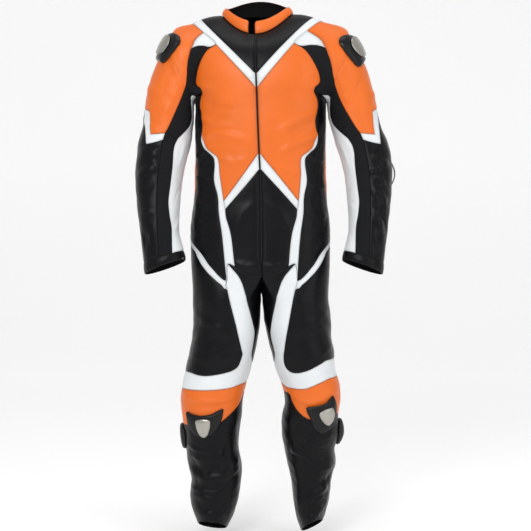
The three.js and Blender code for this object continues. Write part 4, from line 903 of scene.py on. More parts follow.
class LegSeams(SeamPlan):
    """The seams of one leg."""

    def __init__(self, leg: Leg, knee: KneePlan) -> None:
        """Draw them all."""
        super().__init__(leg)
        knots = LEG_KNOTS
        notch, hip = self.knot(knots["notch"], 0), self.seen(89, -701)
        self.hip_low = self.drawn(hip, [(110, -685), (138, -659), (160, -632), (186, -584)],
                                  self.knot(knots["hip_end"], 22))
        self.hip_side = self.straight((knots["side"], 0), hip.spot)
        self.thigh_in = np.vstack([
            self.drawn(notch, [(55, -674), (34, -745), (21, -808), (23, -835), (30, -870)],
                       self.knot(168, BAND_TOP - 8)),
            self.straight((168, BAND_TOP - 8), (200, BAND_TOP)),
        ])
        self.back_top = self.straight((200, 0), (200, BAND_TOP))
        self.back_band = self.straight((200, BAND_TOP), (200, BAND_END))
        self.back_knee = self.straight((200, BAND_END), (200, KNEE_END))
        ends = [(LEG_OUTER, float(leg.solve([rows[-1]])[0][1])) for rows in
                (knee.thigh_low, knee.band_low, knee.knee_low)]
        thigh_end, band_end, knee_end = (self.knot(*end) for end in ends)
        start = self.seen(*knee.thigh_low[0])
        self.thigh_out = self.drawn(hip, [(75, -765), (63, -821)], start)
        self.thigh_low = self.drawn(start, list(knee.thigh_low[1:]), thigh_end)
        self.band_low = np.vstack([
            self.drawn(band_end, list(knee.band_low[::-1]), self.knot(172, BAND_END - 4)),
            self.straight((172, BAND_END - 4), (200, BAND_END)),
        ])
        self.knee_low = np.vstack([
            self.drawn(knee_end, list(knee.knee_low[::-1]), self.knot(172, KNEE_END - 4)),
            self.straight((172, KNEE_END - 4), (200, KNEE_END)),
        ])
        self.band_side = self.straight(thigh_end.spot, band_end.spot)
        self.knee_side = self.straight(band_end.spot, knee_end.spot)
        self.knee_back = self.curved(knee_end.spot, (-90, 375), (LEG_SEAM, KNEE_END))
        self.hip_back = self.straight((knots["hip_end"], 0), (knots["hip_end"], 22))
        self.shin_back = self.straight((200, KNEE_END), (200, HEM))

    def top(self, start: float, end: float) -> Line:
        """Draw the sewn-on edge between two turns."""
        turns = root_turns(start, end)
        return np.column_stack([turns, 0 * turns])


def inside(outline: Array, spots: Array) -> Array:
    """Tell which spots lie inside a closed outline."""
    odd = np.zeros(len(spots), bool)
    following = np.roll(outline, -1, axis=0)
    for (ax, ay), (bx, by) in zip(outline, following):
        if ay == by:
            continue
        cross = (ay > spots[:, 1]) != (by > spots[:, 1])
        odd ^= cross & (spots[:, 0] < ax + (bx - ax) * (spots[:, 1] - ay) / (by - ay))
    return odd


def rim_distance(outline: Array, spots: Array) -> Array:
    """Measure how far spots lie from a closed outline."""
    return distance_to(np.vstack([outline, outline[:1]]), spots)[0]


def inset_line(outline: Array, by: float) -> Array:
    """Move an outline inwards, leaving out what would cross itself."""
    before, after = np.roll(outline, 1, axis=0), np.roll(outline, -1, axis=0)
    run = after - before
    run /= np.maximum(np.linalg.norm(run, axis=1), TINY)[:, None]
    moved = outline + by * np.column_stack([-run[:, 1], run[:, 0]])
    keep = inside(outline, moved) & (rim_distance(outline, moved) > by * 0.9)
    return moved[keep]


ROW_START, ROW_RATIO = 0.43, 0.87
CLEAN_GAP = 0.3


@dataclass
class Cut:
    """What one piece is cut to: its outline and how fine its mesh is."""

    surface: Surface
    outline: Line
    side: int
    step: float = 5.0
    rings: tuple[float, ...] = (1.0, 2.4, 4.6)

    def __post_init__(self) -> None:
        """Clean the outline and set it anticlockwise."""
        scale = np.array([self.surface.scale, 1.0])
        flat = self.outline * scale
        gaps = np.linalg.norm(flat - np.roll(flat, 1, axis=0), axis=1)
        flat = flat[gaps > CLEAN_GAP]
        x, y = flat.T
        if (x * np.roll(y, -1) - np.roll(x, -1) * y).sum() < 0:
            flat = flat[::-1]
        self.flat = flat

    def inner(self, step: float, rings: Sequence[float]) -> Array:
        """Place the mesh points inside the outline.

        Args:
            step: distance between them in the middle.
            rings: distances of the rows that follow the outline.

        Returns:
            Flat places.
        """
        rows = [inset_line(self.flat, by) for by in rings]
        margin = (rings[-1] if len(rings) else 0) + step * 0.5
        (left, top), (right, low) = self.flat.min(0), self.flat.max(0)
        ys = np.arange(top + step * ROW_START, low, step * ROW_RATIO)
        spots = []
        for i, y in enumerate(ys):
            xs = np.arange(left + (0.25 if i % 2 else 0.75) * step, right, step)
            spots.append(np.column_stack([xs, np.full(len(xs), y)]))
        if spots:
            grid = np.vstack(spots)
            grid = grid[inside(self.flat, grid)]
            rows.append(grid[rim_distance(self.flat, grid) > margin])
        return np.vstack(rows) if rows else np.zeros((0, 2))

    def net(self, step: float, rings: Sequence[float]) -> tuple[Array, list[tuple[int, ...]], list[int]]:
        """Join the outline and the inner points to triangles.

        Returns:
            Flat places, faces, and the outline's point numbers in order.
        """
        spots = np.vstack([self.flat, self.inner(step, rings)])
        count = len(self.flat)
        verts, _, faces, origins, _, _ = delaunay_2d_cdt(
            [Vector(p) for p in spots], [], [list(range(count))], 1, 1e-6)
        place = {source: i for i, sources in enumerate(origins) for source in sources}
        order = [place[i] for i in range(count)]
        return np.array([tuple(v) for v in verts]), [tuple(f) for f in faces], order

    def places(self, flat: Array) -> tuple[Array, Array]:
        """Turn flat places back to turns and distances."""
        return flat[:, 0] / self.surface.scale, flat[:, 1]


class Part(Enum):
    """The places of a piece that have a finish of their own."""

    FACE = 0
    UNDERSIDE = 1


NARROWEST = 0.0102
UNDER_INSET = 0.2
SAMPLE = 200
LEAST_FILL, LEAF_FILL = 0.31, 0.7
TINY = 1e-9


@dataclass
class Shell:
    """A piece with a face, a rounded rim and an underside."""

    cut: Cut
    height: Height
    low: float = -2.0
    gap: float = 0.15
    creased: bool = True
    under: Callable[[Array], Array] | None = None

    def lifted(self, flat: Array, rise: Array) -> Array:
        """Give points in millimetres at a height over the surface."""
        surface, side = self.cut.surface, self.cut.side
        turn, at = self.cut.places(flat)
        return surface.point(turn, at, side) + surface.normal(turn, at, side) * rise[:, None]

    def folds(self, turn: Array, at: Array) -> Array:
        """Give the rise of the creases, for cloth that has them."""
        surface = self.cut.surface
        return surface.creases.rise(turn, at, self.cut.side) if self.creased else np.zeros(len(turn))

    def build(self, name: str) -> bpy.types.Object:
        """Make the mesh.

        Args:
            name: the piece's name.

        Returns:
            The new object.
        """
        cut = self.cut
        flat, faces, order = cut.net(cut.step, cut.rings)
        rim = rim_distance(cut.flat, flat)
        turn, at = cut.places(flat)
        rise = self.height(rim, turn, at) + self.folds(turn, at)
        top = self.lifted(flat, rise)
        loop = np.array(order)
        into = self.inward(top[loop])
        top[loop] += into * self.gap
        lift = self.under(at) if self.under else self.low
        low = self.lifted(flat, self.folds(turn, at) + lift)
        low[loop] += into * (self.gap + UNDER_INSET)
        base = len(top)
        points = np.vstack([top, low]) * MM
        polygons: list[tuple[int, ...]] = [*faces]
        polygons += [tuple(base + i for i in reversed(face)) for face in faces]
        count = len(loop)
        for i in range(count):
            j = (i + 1) % count
            polygons.append((int(loop[j]), int(loop[i]), int(base + loop[i]), int(base + loop[j])))
        some = faces[:SAMPLE]
        a, b, c = (top[list(corner)] for corner in zip(*some))
        seen = np.cross(b - a, c - a)
        own = cut.surface.normal(*cut.places(flat[[face[0] for face in some]]), cut.side)
        if (seen * own).sum() < 0:
            polygons = [tuple(reversed(face)) for face in polygons]
        mesh = bpy.data.meshes.new(name)
        mesh.from_pydata(points.tolist(), [], polygons)
        parts = np.zeros(len(polygons), np.int32)
        parts[len(faces):2 * len(faces)] = Part.UNDERSIDE.value
        mesh.polygons.foreach_set("material_index", parts)
        mesh.polygons.foreach_set("use_smooth", np.ones(len(polygons), bool))
        edge = mesh.attributes.new("rim", "FLOAT", "POINT")
        edge.data.foreach_set("value", np.concatenate([rim, np.zeros(len(low))]).astype(np.float32))
        mesh.update()
        made = bpy.data.objects.new(name, mesh)
        bpy.context.scene.collection.objects.link(made)
        return made

    def inward(self, loop: Array) -> Array:
        """Give the directions from the rim to the middle of the piece, in the cloth."""
        flat, step = self.cut.flat, 0.8
        before, after = np.roll(flat, 1, axis=0), np.roll(flat, -1, axis=0)
        run = after - before
        run /= np.maximum(np.linalg.norm(run, axis=1), TINY)[:, None]
        moved = flat + step * np.column_stack([-run[:, 1], run[:, 0]])
        turn, at = self.cut.places(moved)
        here_turn, here_at = self.cut.places(flat)
        surface, side = self.cut.surface, self.cut.side
        way = surface.point(turn, np.maximum(at, 0), side) - surface.point(here_turn, here_at, side)
        return way / np.maximum(np.linalg.norm(way, axis=1), TINY)[:, None]

    def measure(self, made: bpy.types.Object) -> tuple[tuple[float, float], float]:
        """Give the flat size of the cut that shows, and its area, in metres."""
        mesh = made.data
        areas = np.zeros(len(mesh.polygons))
        parts = np.zeros(len(mesh.polygons), np.int32)
        mesh.polygons.foreach_get("area", areas)
        mesh.polygons.foreach_get("material_index", parts)
        rim_faces = len(self.cut.flat)
        area = float(areas[parts == Part.FACE.value][:-rim_faces].sum())
        flat = self.cut.flat
        x, y = flat.T
        flat_area = abs((x * np.roll(y, -1) - np.roll(x, -1) * y).sum()) / 2
        grow = math.sqrt(area / flat_area)
        best = (1.0, 1.0)
        for angle in np.radians(np.arange(0, 90, 3)):
            cos, sin = math.cos(angle), math.sin(angle)
            spun = flat @ np.array([[cos, -sin], [sin, cos]])
            size = (spun.max(0) - spun.min(0)) * grow
            if size[0] * size[1] < best[0] * best[1]:
                best = (float(size[0]), float(size[1]))
        if area < LEAST_FILL * best[0] * best[1]:
            longest = max(best)
            best = (area / (LEAF_FILL * longest), longest)
        best = (max(best[0], NARROWEST), max(best[1], NARROWEST))
        return best, min(area, best[0] * best[1])


class Socket:
    """An output of a shader node, for use in expressions on values."""

    def __init__(self, shader: Shader, link: bpy.types.NodeSocket) -> None:
        """Keep the shader that new nodes are added to."""
        self.shader, self.link = shader, link

    def apply(self, operation: str, one: Value, two: Value = 0.0) -> Socket:
        """Add one Math node."""
        return self.shader.node("ShaderNodeMath", {"operation": operation}, {0: one, 1: two})

    def __add__(self, other: Value) -> Socket:
        """Add."""
        return self.apply("ADD", self, other)

    def __radd__(self, other: Value) -> Socket:
        """Add from the right."""
        return self.apply("ADD", other, self)

    def __sub__(self, other: Value) -> Socket:
        """Take away."""
        return self.apply("SUBTRACT", self, other)

    def __rsub__(self, other: Value) -> Socket:
        """Take this away from another."""
        return self.apply("SUBTRACT", other, self)

    def __mul__(self, other: Value) -> Socket:
        """Multiply."""
        return self.apply("MULTIPLY", self, other)

    def __rmul__(self, other: Value) -> Socket:
        """Multiply from the right."""
        return self.apply("MULTIPLY", other, self)

    def __truediv__(self, other: Value) -> Socket:
        """Divide."""
        return self.apply("DIVIDE", self, other)

    def least(self, other: Value) -> Socket:
        """Take the smaller of two."""
        return self.apply("MINIMUM", self, other)


Value = Socket | float | tuple[float, ...]


class Shader:
    """The node tree of one material."""

    def __init__(self, name: str) -> None:
        """Start a material with only its shader and output."""
        self.material = bpy.data.materials.new(name)
        self.material.use_nodes = True
        self.tree = self.material.node_tree
        self.surface = self.tree.nodes["Principled BSDF"]

    def node(self, kind: str, settings: dict[str, object], values: dict[int | str, Value],
             output: int | str = 0) -> Socket:
        """Add one node.

        Args:
            kind: the node's type.
            settings: its own settings, set first.
            values: values or links of its sockets, by name or number.
            output: which output is wanted.

        Returns:
            The output.
        """
        made = self.tree.nodes.new(kind)
        for key, value in settings.items():
            setattr(made, key, value)
        for key, value in values.items():
            self.feed(made.inputs[key], value)
        return Socket(self, made.outputs[output])

    def feed(self, socket: bpy.types.NodeSocket, value: Value) -> None:
        """Link or set one input."""
        if isinstance(value, Socket):
            self.tree.links.new(value.link, socket)
        elif isinstance(value, tuple) and len(value) == 3 and socket.type == "RGBA":
            socket.default_value = (*value, 1.0)
        else:
            socket.default_value = value

    def set(self, **values: Value) -> None:
        """Feed the surface's own sockets, with underscores for spaces."""
        for key, value in values.items():
            self.feed(self.surface.inputs[key.replace("_", " ").title().replace("Ior", "IOR")], value)

    def spot(self) -> Socket:
        """Give the place on the object in metres."""
        return self.node("ShaderNodeTexCoord", {}, {}, "Object")

    def noise(self, size: float, detail: float = 2.0, rough: float = 0.5, kind: str = "FBM") -> Socket:
        """Add noise whose grains are about a size in metres."""
        return self.node("ShaderNodeTexNoise", {"noise_type": kind, "normalize": True},
                         {"Vector": self.spot(), "Scale": 1 / size, "Detail": detail, "Roughness": rough})

    def cells(self, size: float) -> Socket:
        """Add small cells of about a size in metres, higher at their middle."""
        return 1 - self.node("ShaderNodeTexVoronoi", {"feature": "F1"},
                             {"Vector": self.spot(), "Scale": 1 / size}, "Distance")

    def rim(self) -> Socket:
        """Give the distance from the piece's edge in millimetres."""
        return self.node("ShaderNodeAttribute", {"attribute_name": "rim"}, {}, "Fac")

    def blend(self, share: Value, one: Value, two: Value) -> Socket:
        """Mix two colours."""
        return self.node("ShaderNodeMix", {"data_type": "RGBA"}, {0: share, 6: one, 7: two}, 2)

    def relief(self, height: Socket, depth: float, strength: float = 1.0) -> Socket:
        """Turn a height from 0 to 1 into a bump of a depth in metres."""
        return self.node("ShaderNodeBump", {}, {"Strength": strength, "Distance": depth, "Height": height})


def shaded(colour: tuple[float, ...], by: float) -> tuple[float, ...]:
    """Darken or lighten a colour."""
    return tuple(min(1.0, part * by) for part in colour)


@dataclass(frozen=True)
class Leather:
    """Cow hide with its grain, fine wrinkles and rolled edges, its colour darkened along the seams as painted shade
    with some dirt.
    """

    name: str
    slot: str
    colour: tuple[float, float, float]
    rough: float
    # How much of the colour is kept along the seams, where painted shade with some dirt darkens it.
    edge: float = 0.55
    shine: float = 0.12
    relief: float = 0.0004
    level: float = 0.3

    def make(self) -> bpy.types.Material:
        """Build the material."""
        shader = Shader(self.name)
        patches, fine = shader.noise(0.09, 3), shader.noise(0.004, 3, 0.6)
        wrinkles = shader.noise(0.022, 4, 0.55, "RIDGED_MULTIFRACTAL")
        grain = shader.cells(0.0016)
        face = shader.blend(patches, shaded(self.colour, 0.86), shaded(self.colour, 1.1))
        # Painted shade with some dirt: the colour darkens within about 3 mm of every seam.
        near = (shader.rim() / 3.2).least(1.0)
        colour = shader.blend(near, shaded(self.colour, self.edge), face)
        height = grain * 0.45 + wrinkles * 0.9 + fine * 0.35
        shader.set(
            base_color=colour, roughness=self.rough + 0.14 * (patches - 0.5) + 0.12 * (fine - 0.5),
            normal=shader.relief(height, self.relief), coat_weight=self.shine, coat_roughness=0.28,
            specular_ior_level=self.level,
        )
        return shader.material


@dataclass(frozen=True)
class Stretch:
    """Ribbed stretch fabric, matte, with a fine knit."""

    name: str
    slot: str
    colour: tuple[float, float, float]
    rough: float = 0.92
    rib: float = 0.0022

    def make(self) -> bpy.types.Material:
        """Build the material."""
        shader = Shader(self.name)
        rows = shader.node("ShaderNodeTexWave", {"wave_type": "BANDS", "bands_direction": "Z"}, {
            "Vector": shader.spot(), "Scale": 0.314 / self.rib, "Distortion": 1.2, "Detail": 1.0,
            "Detail Scale": 3.0}, "Fac")
        knit, patches = shader.cells(0.0012), shader.noise(0.05, 3)
        colour = shader.blend(patches, shaded(self.colour, 0.75), shaded(self.colour, 1.3))
        shader.set(base_color=colour, roughness=self.rough - 0.08 * rows,
                   normal=shader.relief(rows * 0.7 + knit * 0.5, 0.00035), specular_ior_level=0.25)
        return shader.material


@dataclass(frozen=True)
class Mesh3D:
    """The spacer mesh that lines the suit."""

    name: str
    slot: str
    colour: tuple[float, float, float]

    def make(self) -> bpy.types.Material:
        """Build the material."""
        shader = Shader(self.name)
        holes, patches = shader.cells(0.003), shader.noise(0.04, 2)
        colour = shader.blend(holes * patches, shaded(self.colour, 0.4), shaded(self.colour, 1.5))
        shader.set(base_color=colour, roughness=0.95 - 0.05 * patches,
                   normal=shader.relief(holes, 0.0006), specular_ior_level=0.15)
        return shader.material


@dataclass(frozen=True)
class Moulded:
    """Moulded plastic or rubber with a light moulding grain and a painted highlight along its rim."""

    name: str
    slot: str
    colour: tuple[float, float, float]
    rough: float
    shine: float = 0.0
    level: float = 0.25

    def make(self) -> bpy.types.Material:
        """Build the material."""
        shader = Shader(self.name)
        fine, patches = shader.noise(0.0009, 2), shader.noise(0.03, 3)
        # Painted highlight: the colour is lightened within about 1.6 mm of the rim.
        near = (shader.rim() / 1.6).least(1.0)
        colour = shader.blend(near, shaded(self.colour, 2.2), shader.blend(
            patches, shaded(self.colour, 0.8), shaded(self.colour, 1.25)))
        shader.set(base_color=colour, roughness=self.rough + 0.16 * (patches - 0.5),
                   normal=shader.relief(fine, 0.00008), coat_weight=self.shine, coat_roughness=0.2,
                   specular_ior_level=self.level)
        return shader.material


@dataclass(frozen=True)
class Satin:
    """Satin metal, lightly brushed along its length, darker towards its rim."""

    name: str
    slot: str
    colour: tuple[float, float, float]
    rough: float = 0.34

    def make(self) -> bpy.types.Material:
        """Build the material."""
        shader = Shader(self.name)
        stretched = shader.node("ShaderNodeMapping", {}, {"Vector": shader.spot(), "Scale": (60.0, 60.0, 900.0)})
        brushed = shader.node("ShaderNodeTexNoise", {}, {"Vector": stretched, "Scale": 1.0, "Detail": 3.0})
        patches = shader.noise(0.02, 3)
        # The colour darkens within about 2.4 mm of the rim.
        near = (shader.rim() / 2.4).least(1.0)
        colour = shader.blend(near, shaded(self.colour, 0.7), shader.blend(
            patches, shaded(self.colour, 0.92), shaded(self.colour, 1.06)))
        shader.set(base_color=colour, roughness=self.rough + 0.12 * (brushed - 0.5), metallic=1.0,
                   normal=shader.relief(brushed, 0.00003))
        return shader.material


@dataclass(frozen=True)
class Thread:
    """Bonded sewing thread."""

    name: str
    slot: str
    colour: tuple[float, float, float]

    def make(self) -> bpy.types.Material:
        """Build the material."""
        shader = Shader(self.name)
        twist = shader.noise(0.0006, 1)
        shader.set(base_color=shader.blend(twist, shaded(self.colour, 0.7), shaded(self.colour, 1.1)),
                   roughness=0.75 - 0.1 * twist, normal=shader.relief(twist, 0.00008))
        return shader.material


class Finish(Enum):
    """Every finish of the suit."""

    # The fifth value of each hide is how much colour it keeps along the seams under its painted shade and dirt.
    BLACK = Leather("black_hide", "black_leather", (0.0030, 0.0031, 0.0040), 0.30, 0.6, 0.03, 0.00045, 0.13)
    ORANGE = Leather("orange_hide", "orange_leather", (0.75, 0.143, 0.011), 0.42, 0.62, 0.08)
    WHITE = Leather("white_hide", "white_leather", (0.72, 0.745, 0.76), 0.44, 0.7, 0.08)
    STRETCH = Stretch("ribbed_stretch", "stretch_fabric", (0.0045, 0.0048, 0.006))
    LINING = Mesh3D("lining_mesh", "collar_lining", (0.004, 0.004, 0.0045))
    TAPE = Stretch("zip_tape", "zip_tape", (0.007, 0.007, 0.009), 0.8, 0.0012)
    TEETH = Moulded("zip_teeth", "zip_tape", (0.012, 0.012, 0.013), 0.4)
    SHELL = Moulded("guard_shell", "guard_shell", (0.0055, 0.0055, 0.0065), 0.3, 0.08, 0.2)
    SLIDER = Moulded("slider_plastic", "slider_plastic", (0.010, 0.010, 0.011), 0.45)
    METAL = Satin("guard_metal", "guard_metal", (0.40, 0.385, 0.345))
    DARK_THREAD = Thread("dark_thread", "stretch_fabric", (0.012, 0.012, 0.014))
    ORANGE_THREAD = Thread("orange_thread", "stretch_fabric", (0.72, 0.16, 0.045))
    PALE_THREAD = Thread("pale_thread", "stretch_fabric", (0.66, 0.68, 0.69))


class Wardrobe:
    """Hands out each finish's material, made once."""

    def __init__(self) -> None:
        """Start with nothing made."""
        self.made: dict[Finish, bpy.types.Material] = {}

    def get(self, finish: Finish) -> bpy.types.Material:
        """Give the material of a finish."""
        if finish not in self.made:
            self.made[finish] = finish.value.make()
        return self.made[finish]

    def dress(self, piece: bpy.types.Object, finish: Finish, under: Finish | None = None) -> None:
        """Put a finish on a piece, and another on its underside."""
        piece.data.materials.append(self.get(finish))
        if under is not None:
            piece.data.materials.append(self.get(under))
        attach(piece, "root")


@dataclass(frozen=True)
class Sewing:
    """The size of the stitches."""

    length: float = 3.1
    pitch: float = 4.3
    half: float = 0.42
    tall: float = 0.5


@dataclass
class StitchRows:
    """Rows of stitches gathered into one mesh."""

    name: str
    finish: Finish
    size: Sewing = field(default_factory=Sewing)
    points: list[Array] = field(default_factory=list)

    def sew(self, surface: Surface, side: int, flat: Array, rise: Height, closed: bool = False) -> None:
        """Add one row.

        Args:
            surface: the cloth's surface.
            side: its side.
            flat: the row's path in flat places.
            rise: the height of the cloth at each place.
            closed: whether the row ends where it starts.
        """
        if len(flat) < 3:
            return
        path = np.vstack([flat, flat[:1]]) if closed else flat
        gaps = np.linalg.norm(np.diff(path, axis=0), axis=1)
        along = np.concatenate([[0], np.cumsum(gaps)])
        middle = np.arange(self.size.pitch / 2, along[-1], self.size.pitch)
        ends = []
        for shift in (-0.5, 0.5):
            place = middle + shift * self.size.length
            spot = np.column_stack([np.interp(place, along, path[:, c]) for c in (0, 1)])
            turn, at = spot[:, 0] / surface.scale, spot[:, 1]
            normal = surface.normal(turn, at, side)
            height = rise(np.full(len(turn), 3.0), turn, at) + surface.creases.rise(turn, at, side)
            ends.append((surface.point(turn, at, side) + normal * height[:, None], normal))
        (a, up), (b, _) = ends
        run = b - a
        far = np.linalg.norm(run, axis=1)
        keep = (far > 1.2) & (far < 8)
        a, b, up, run = a[keep], b[keep], up[keep], run[keep] / far[keep][:, None]
        across = np.cross(up, run) * self.size.half
        top, low = up * self.size.tall, up * -0.25
        self.points.append(np.stack([
            a + across + low, a - across + low, b - across + low, b + across + low,
            a + run * 0.5 + top, b - run * 0.5 + top,
        ], axis=1))

    def build(self, wardrobe: Wardrobe) -> bpy.types.Object:
        """Make the mesh of all rows."""
        points = np.concatenate(self.points).reshape(-1, 3) * MM
        count = len(points) // 6
        shape = ((0, 3, 5, 4), (2, 1, 4, 5), (1, 0, 4), (3, 2, 5))
        faces = [tuple(6 * i + k for k in face) for i in range(count) for face in shape]
        mesh = bpy.data.meshes.new(self.name)
        mesh.from_pydata(points.tolist(), [], faces)
        mesh.polygons.foreach_set("use_smooth", np.ones(len(faces), bool))
        mesh.update()
        made = bpy.data.objects.new(self.name, mesh)
        bpy.context.scene.collection.objects.link(made)
        wardrobe.dress(made, self.finish)
        LOG.info("%s: %d stitches", self.name, count)
        return made


THREADS = {
    Finish.BLACK: Finish.DARK_THREAD, Finish.ORANGE: Finish.ORANGE_THREAD, Finish.WHITE: Finish.PALE_THREAD,
}


@dataclass
class Cloth:
    """How one kind of cloth lies: its rolled edge, its fullness and its soft waves."""

    edge: float = 0.9
    puff: float = 0.5
    waves: float = 0.6
    size: float = 60.0
    seed: int = 3
    base: float = 0.0

    def height(self, surface: Surface, side: int) -> Height:
        """Give the height of the cloth over its surface."""
        ripples = Ripples(self.seed, self.size)

        def rise(rim: Array, turn: Array, at: Array) -> Array:
            """Work out the height at a distance from the rim."""
            places = np.column_stack([turn * surface.scale, at, np.full(len(turn), 400.0 * side)])
            out = self.base - self.edge * np.exp(-((rim / 1.9) ** 1.5)) + self.puff * (1 - np.exp(-rim / 12))
            return out + self.waves * ripples(places) * (1 - np.exp(-rim / 14))

        return rise


class Tailor:
    """Cuts, dresses, measures and tops off every cloth piece."""

    def __init__(self, wardrobe: Wardrobe) -> None:
        """Start the thread meshes."""
        self.wardrobe = wardrobe
        self.rows: dict[tuple[str, Finish], StitchRows] = {}

    def thread(self, place: str, finish: Finish) -> StitchRows:
        """Give the rows of one place and thread."""
        key = (place, THREADS[finish])
        if key not in self.rows:
            self.rows[key] = StitchRows(f"{THREADS[finish].value.name}_{place}", THREADS[finish])
        return self.rows[key]

    def piece(self, name: str, finish: Finish, surface: Surface, lines: Sequence[Line], side: int,
              cloth: Cloth, held: str = "stretched", place: str = "body", low: float = -2.0,
              sewn: Sequence[float] = (2.6,), step: float = 5.0,
              size: tuple[float, float] | None = None) -> bpy.types.Object:
        """Make one sewn piece in place of the frame's solid of the same name.

        Args:
            name: the solid's name.
            finish: what it is cut from.
            surface: the surface it lies on.
            lines: its outline, in order.
            side: its side.
            cloth: how it lies.
            held: how the cloth is held; not used.
            place: the group of its stitches.
            low: height of its underside in millimetres.
            sewn: distances of its stitch rows from the edge.
            step: size of its mesh.
            size: its flat width and length in metres, where they aren't measured.

        Returns:
            The new object.
        """
        cut = Cut(surface, np.vstack(lines), side, step)
        height = cloth.height(surface, side)
        shell = Shell(cut, height, low)
        made = shell.build(f"{name}_cloth")
        self.wardrobe.dress(made, finish, Finish.LINING)
        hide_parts(name)
        flat, area = shell.measure(made)
        flat = size or flat
        if finish in THREADS:
            for by in sewn:
                self.thread(place, finish).sew(surface, side, inset_line(cut.flat, by), height, True)
        LOG.info("%s: %d points, flat %.3f x %.3f m, area %.4f m2", name, len(made.data.vertices), *flat, area)
        return made

    def finish(self) -> None:
        """Make the thread meshes."""
        for rows in self.rows.values():
            rows.build(self.wardrobe)


SMOOTH = Cloth()
FULL = Cloth(puff=0.9, waves=0.9, size=48, seed=5)
SOFT = Cloth(puff=0.6, waves=0.6, size=46, seed=7)
LOOSE = Cloth(puff=0.6, waves=0.9, size=52, seed=11)
KNIT = Cloth(edge=0.5, puff=0.2, waves=0.8, size=30, seed=13, base=-0.5)


@dataclass
class Trunk:
    """Yokes, stripes, chest, side panels, belly, back and seat."""

    seams: BodySeams
    tailor: Tailor

    def build(self) -> None:
        """Make every piece of the trunk."""
        for name, side in SIDES:
            self.front(name, side)
        self.behind()

    def front(self, name: str, side: int) -> None:
        """Make the front pieces of one side."""
        s, body, arm, hip = self.seams, self.seams.surface, ARM_KNOTS, LEG_KNOTS
        make = self.tailor.piece
        make(f"yoke_{name}", Finish.BLACK, body, [
            s.neck_front, s.ridge_neck, s.v_top, back(s.zip_edge(-NECK, V_TOP))], side, SMOOTH)
        make(f"v_stripe_{name}", Finish.WHITE, body, [
            s.ridge_stripe, s.arm(0, arm["stripe"]), s.v_low, back(s.zip_edge(V_TOP, V_LOW)),
            back(s.v_top)], side, SMOOTH)
        make(f"chest_{name}", Finish.ORANGE, body, [
            back(s.v_low), s.arm(arm["stripe"], arm["chest"]), s.chest_side, s.stripe_in,
            s.peak_top, back(s.zip_edge(V_LOW, PEAK_TOP))], side, SMOOTH)
        make(f"peak_stripe_{name}", Finish.WHITE, body, [
            back(s.peak_top), s.stripe_end, s.peak_low, back(s.zip_edge(PEAK_TOP, PEAK_LOW))], side, SMOOTH)
        make(f"side_stripe_{name}", Finish.WHITE, body, [
            s.stripe_out, s.hip(hip["side"], hip["belly"]), back(s.stripe_low),
            back(s.stripe_end), back(s.stripe_in)], side, SMOOTH)
        make(f"side_panel_{name}", Finish.BLACK, body, [
            s.arm(arm["chest"], 180), s.side_top, s.side_low, s.hip(hip["hip_end"], hip["side"]),
            back(s.stripe_out), back(s.chest_side)], side, FULL)
        make(f"belly_{name}", Finish.BLACK, body, [
            s.stripe_low, s.hip(hip["belly"], hip["middle"]),
            s.straight((0, -CROTCH_FRONT[1]), (0, -ZIP_END)),
            back(s.zip_edge(PEAK_LOW, ZIP_END)), back(s.peak_low)], side, SMOOTH)

    def behind(self) -> None:
        """Make the pieces of the back, each in one from side to side."""
        s, body, arm, hip = self.seams, self.seams.surface, ARM_KNOTS, LEG_KNOTS
        shoulder = np.vstack([s.ridge_neck, s.ridge_stripe, s.arm(0, arm["yoke"] - 360)])
        make = self.tailor.piece
        make("back_yoke", Finish.BLACK, body, [
            s.neck_back, back(mirrored(s.neck_back)), mirrored(shoulder), mirrored(s.yoke_back),
            back(s.yoke_back), back(shoulder)], LEFT, SMOOTH)
        side = np.vstack([s.arm(arm["yoke"], 180), s.side_top])
        make("back_panel", Finish.ORANGE, body, [
            side, s.waist_back, back(mirrored(s.waist_back)), back(mirrored(side)),
            mirrored(s.yoke_back), back(s.yoke_back)], LEFT, FULL)
        seat = np.vstack([s.side_low, s.hip(hip["hip_end"], hip["back"] - 360)])
        make("seat", Finish.BLACK, body, [
            seat, back(mirrored(seat)), mirrored(s.waist_back), back(s.waist_back)], LEFT, FULL, "hung")


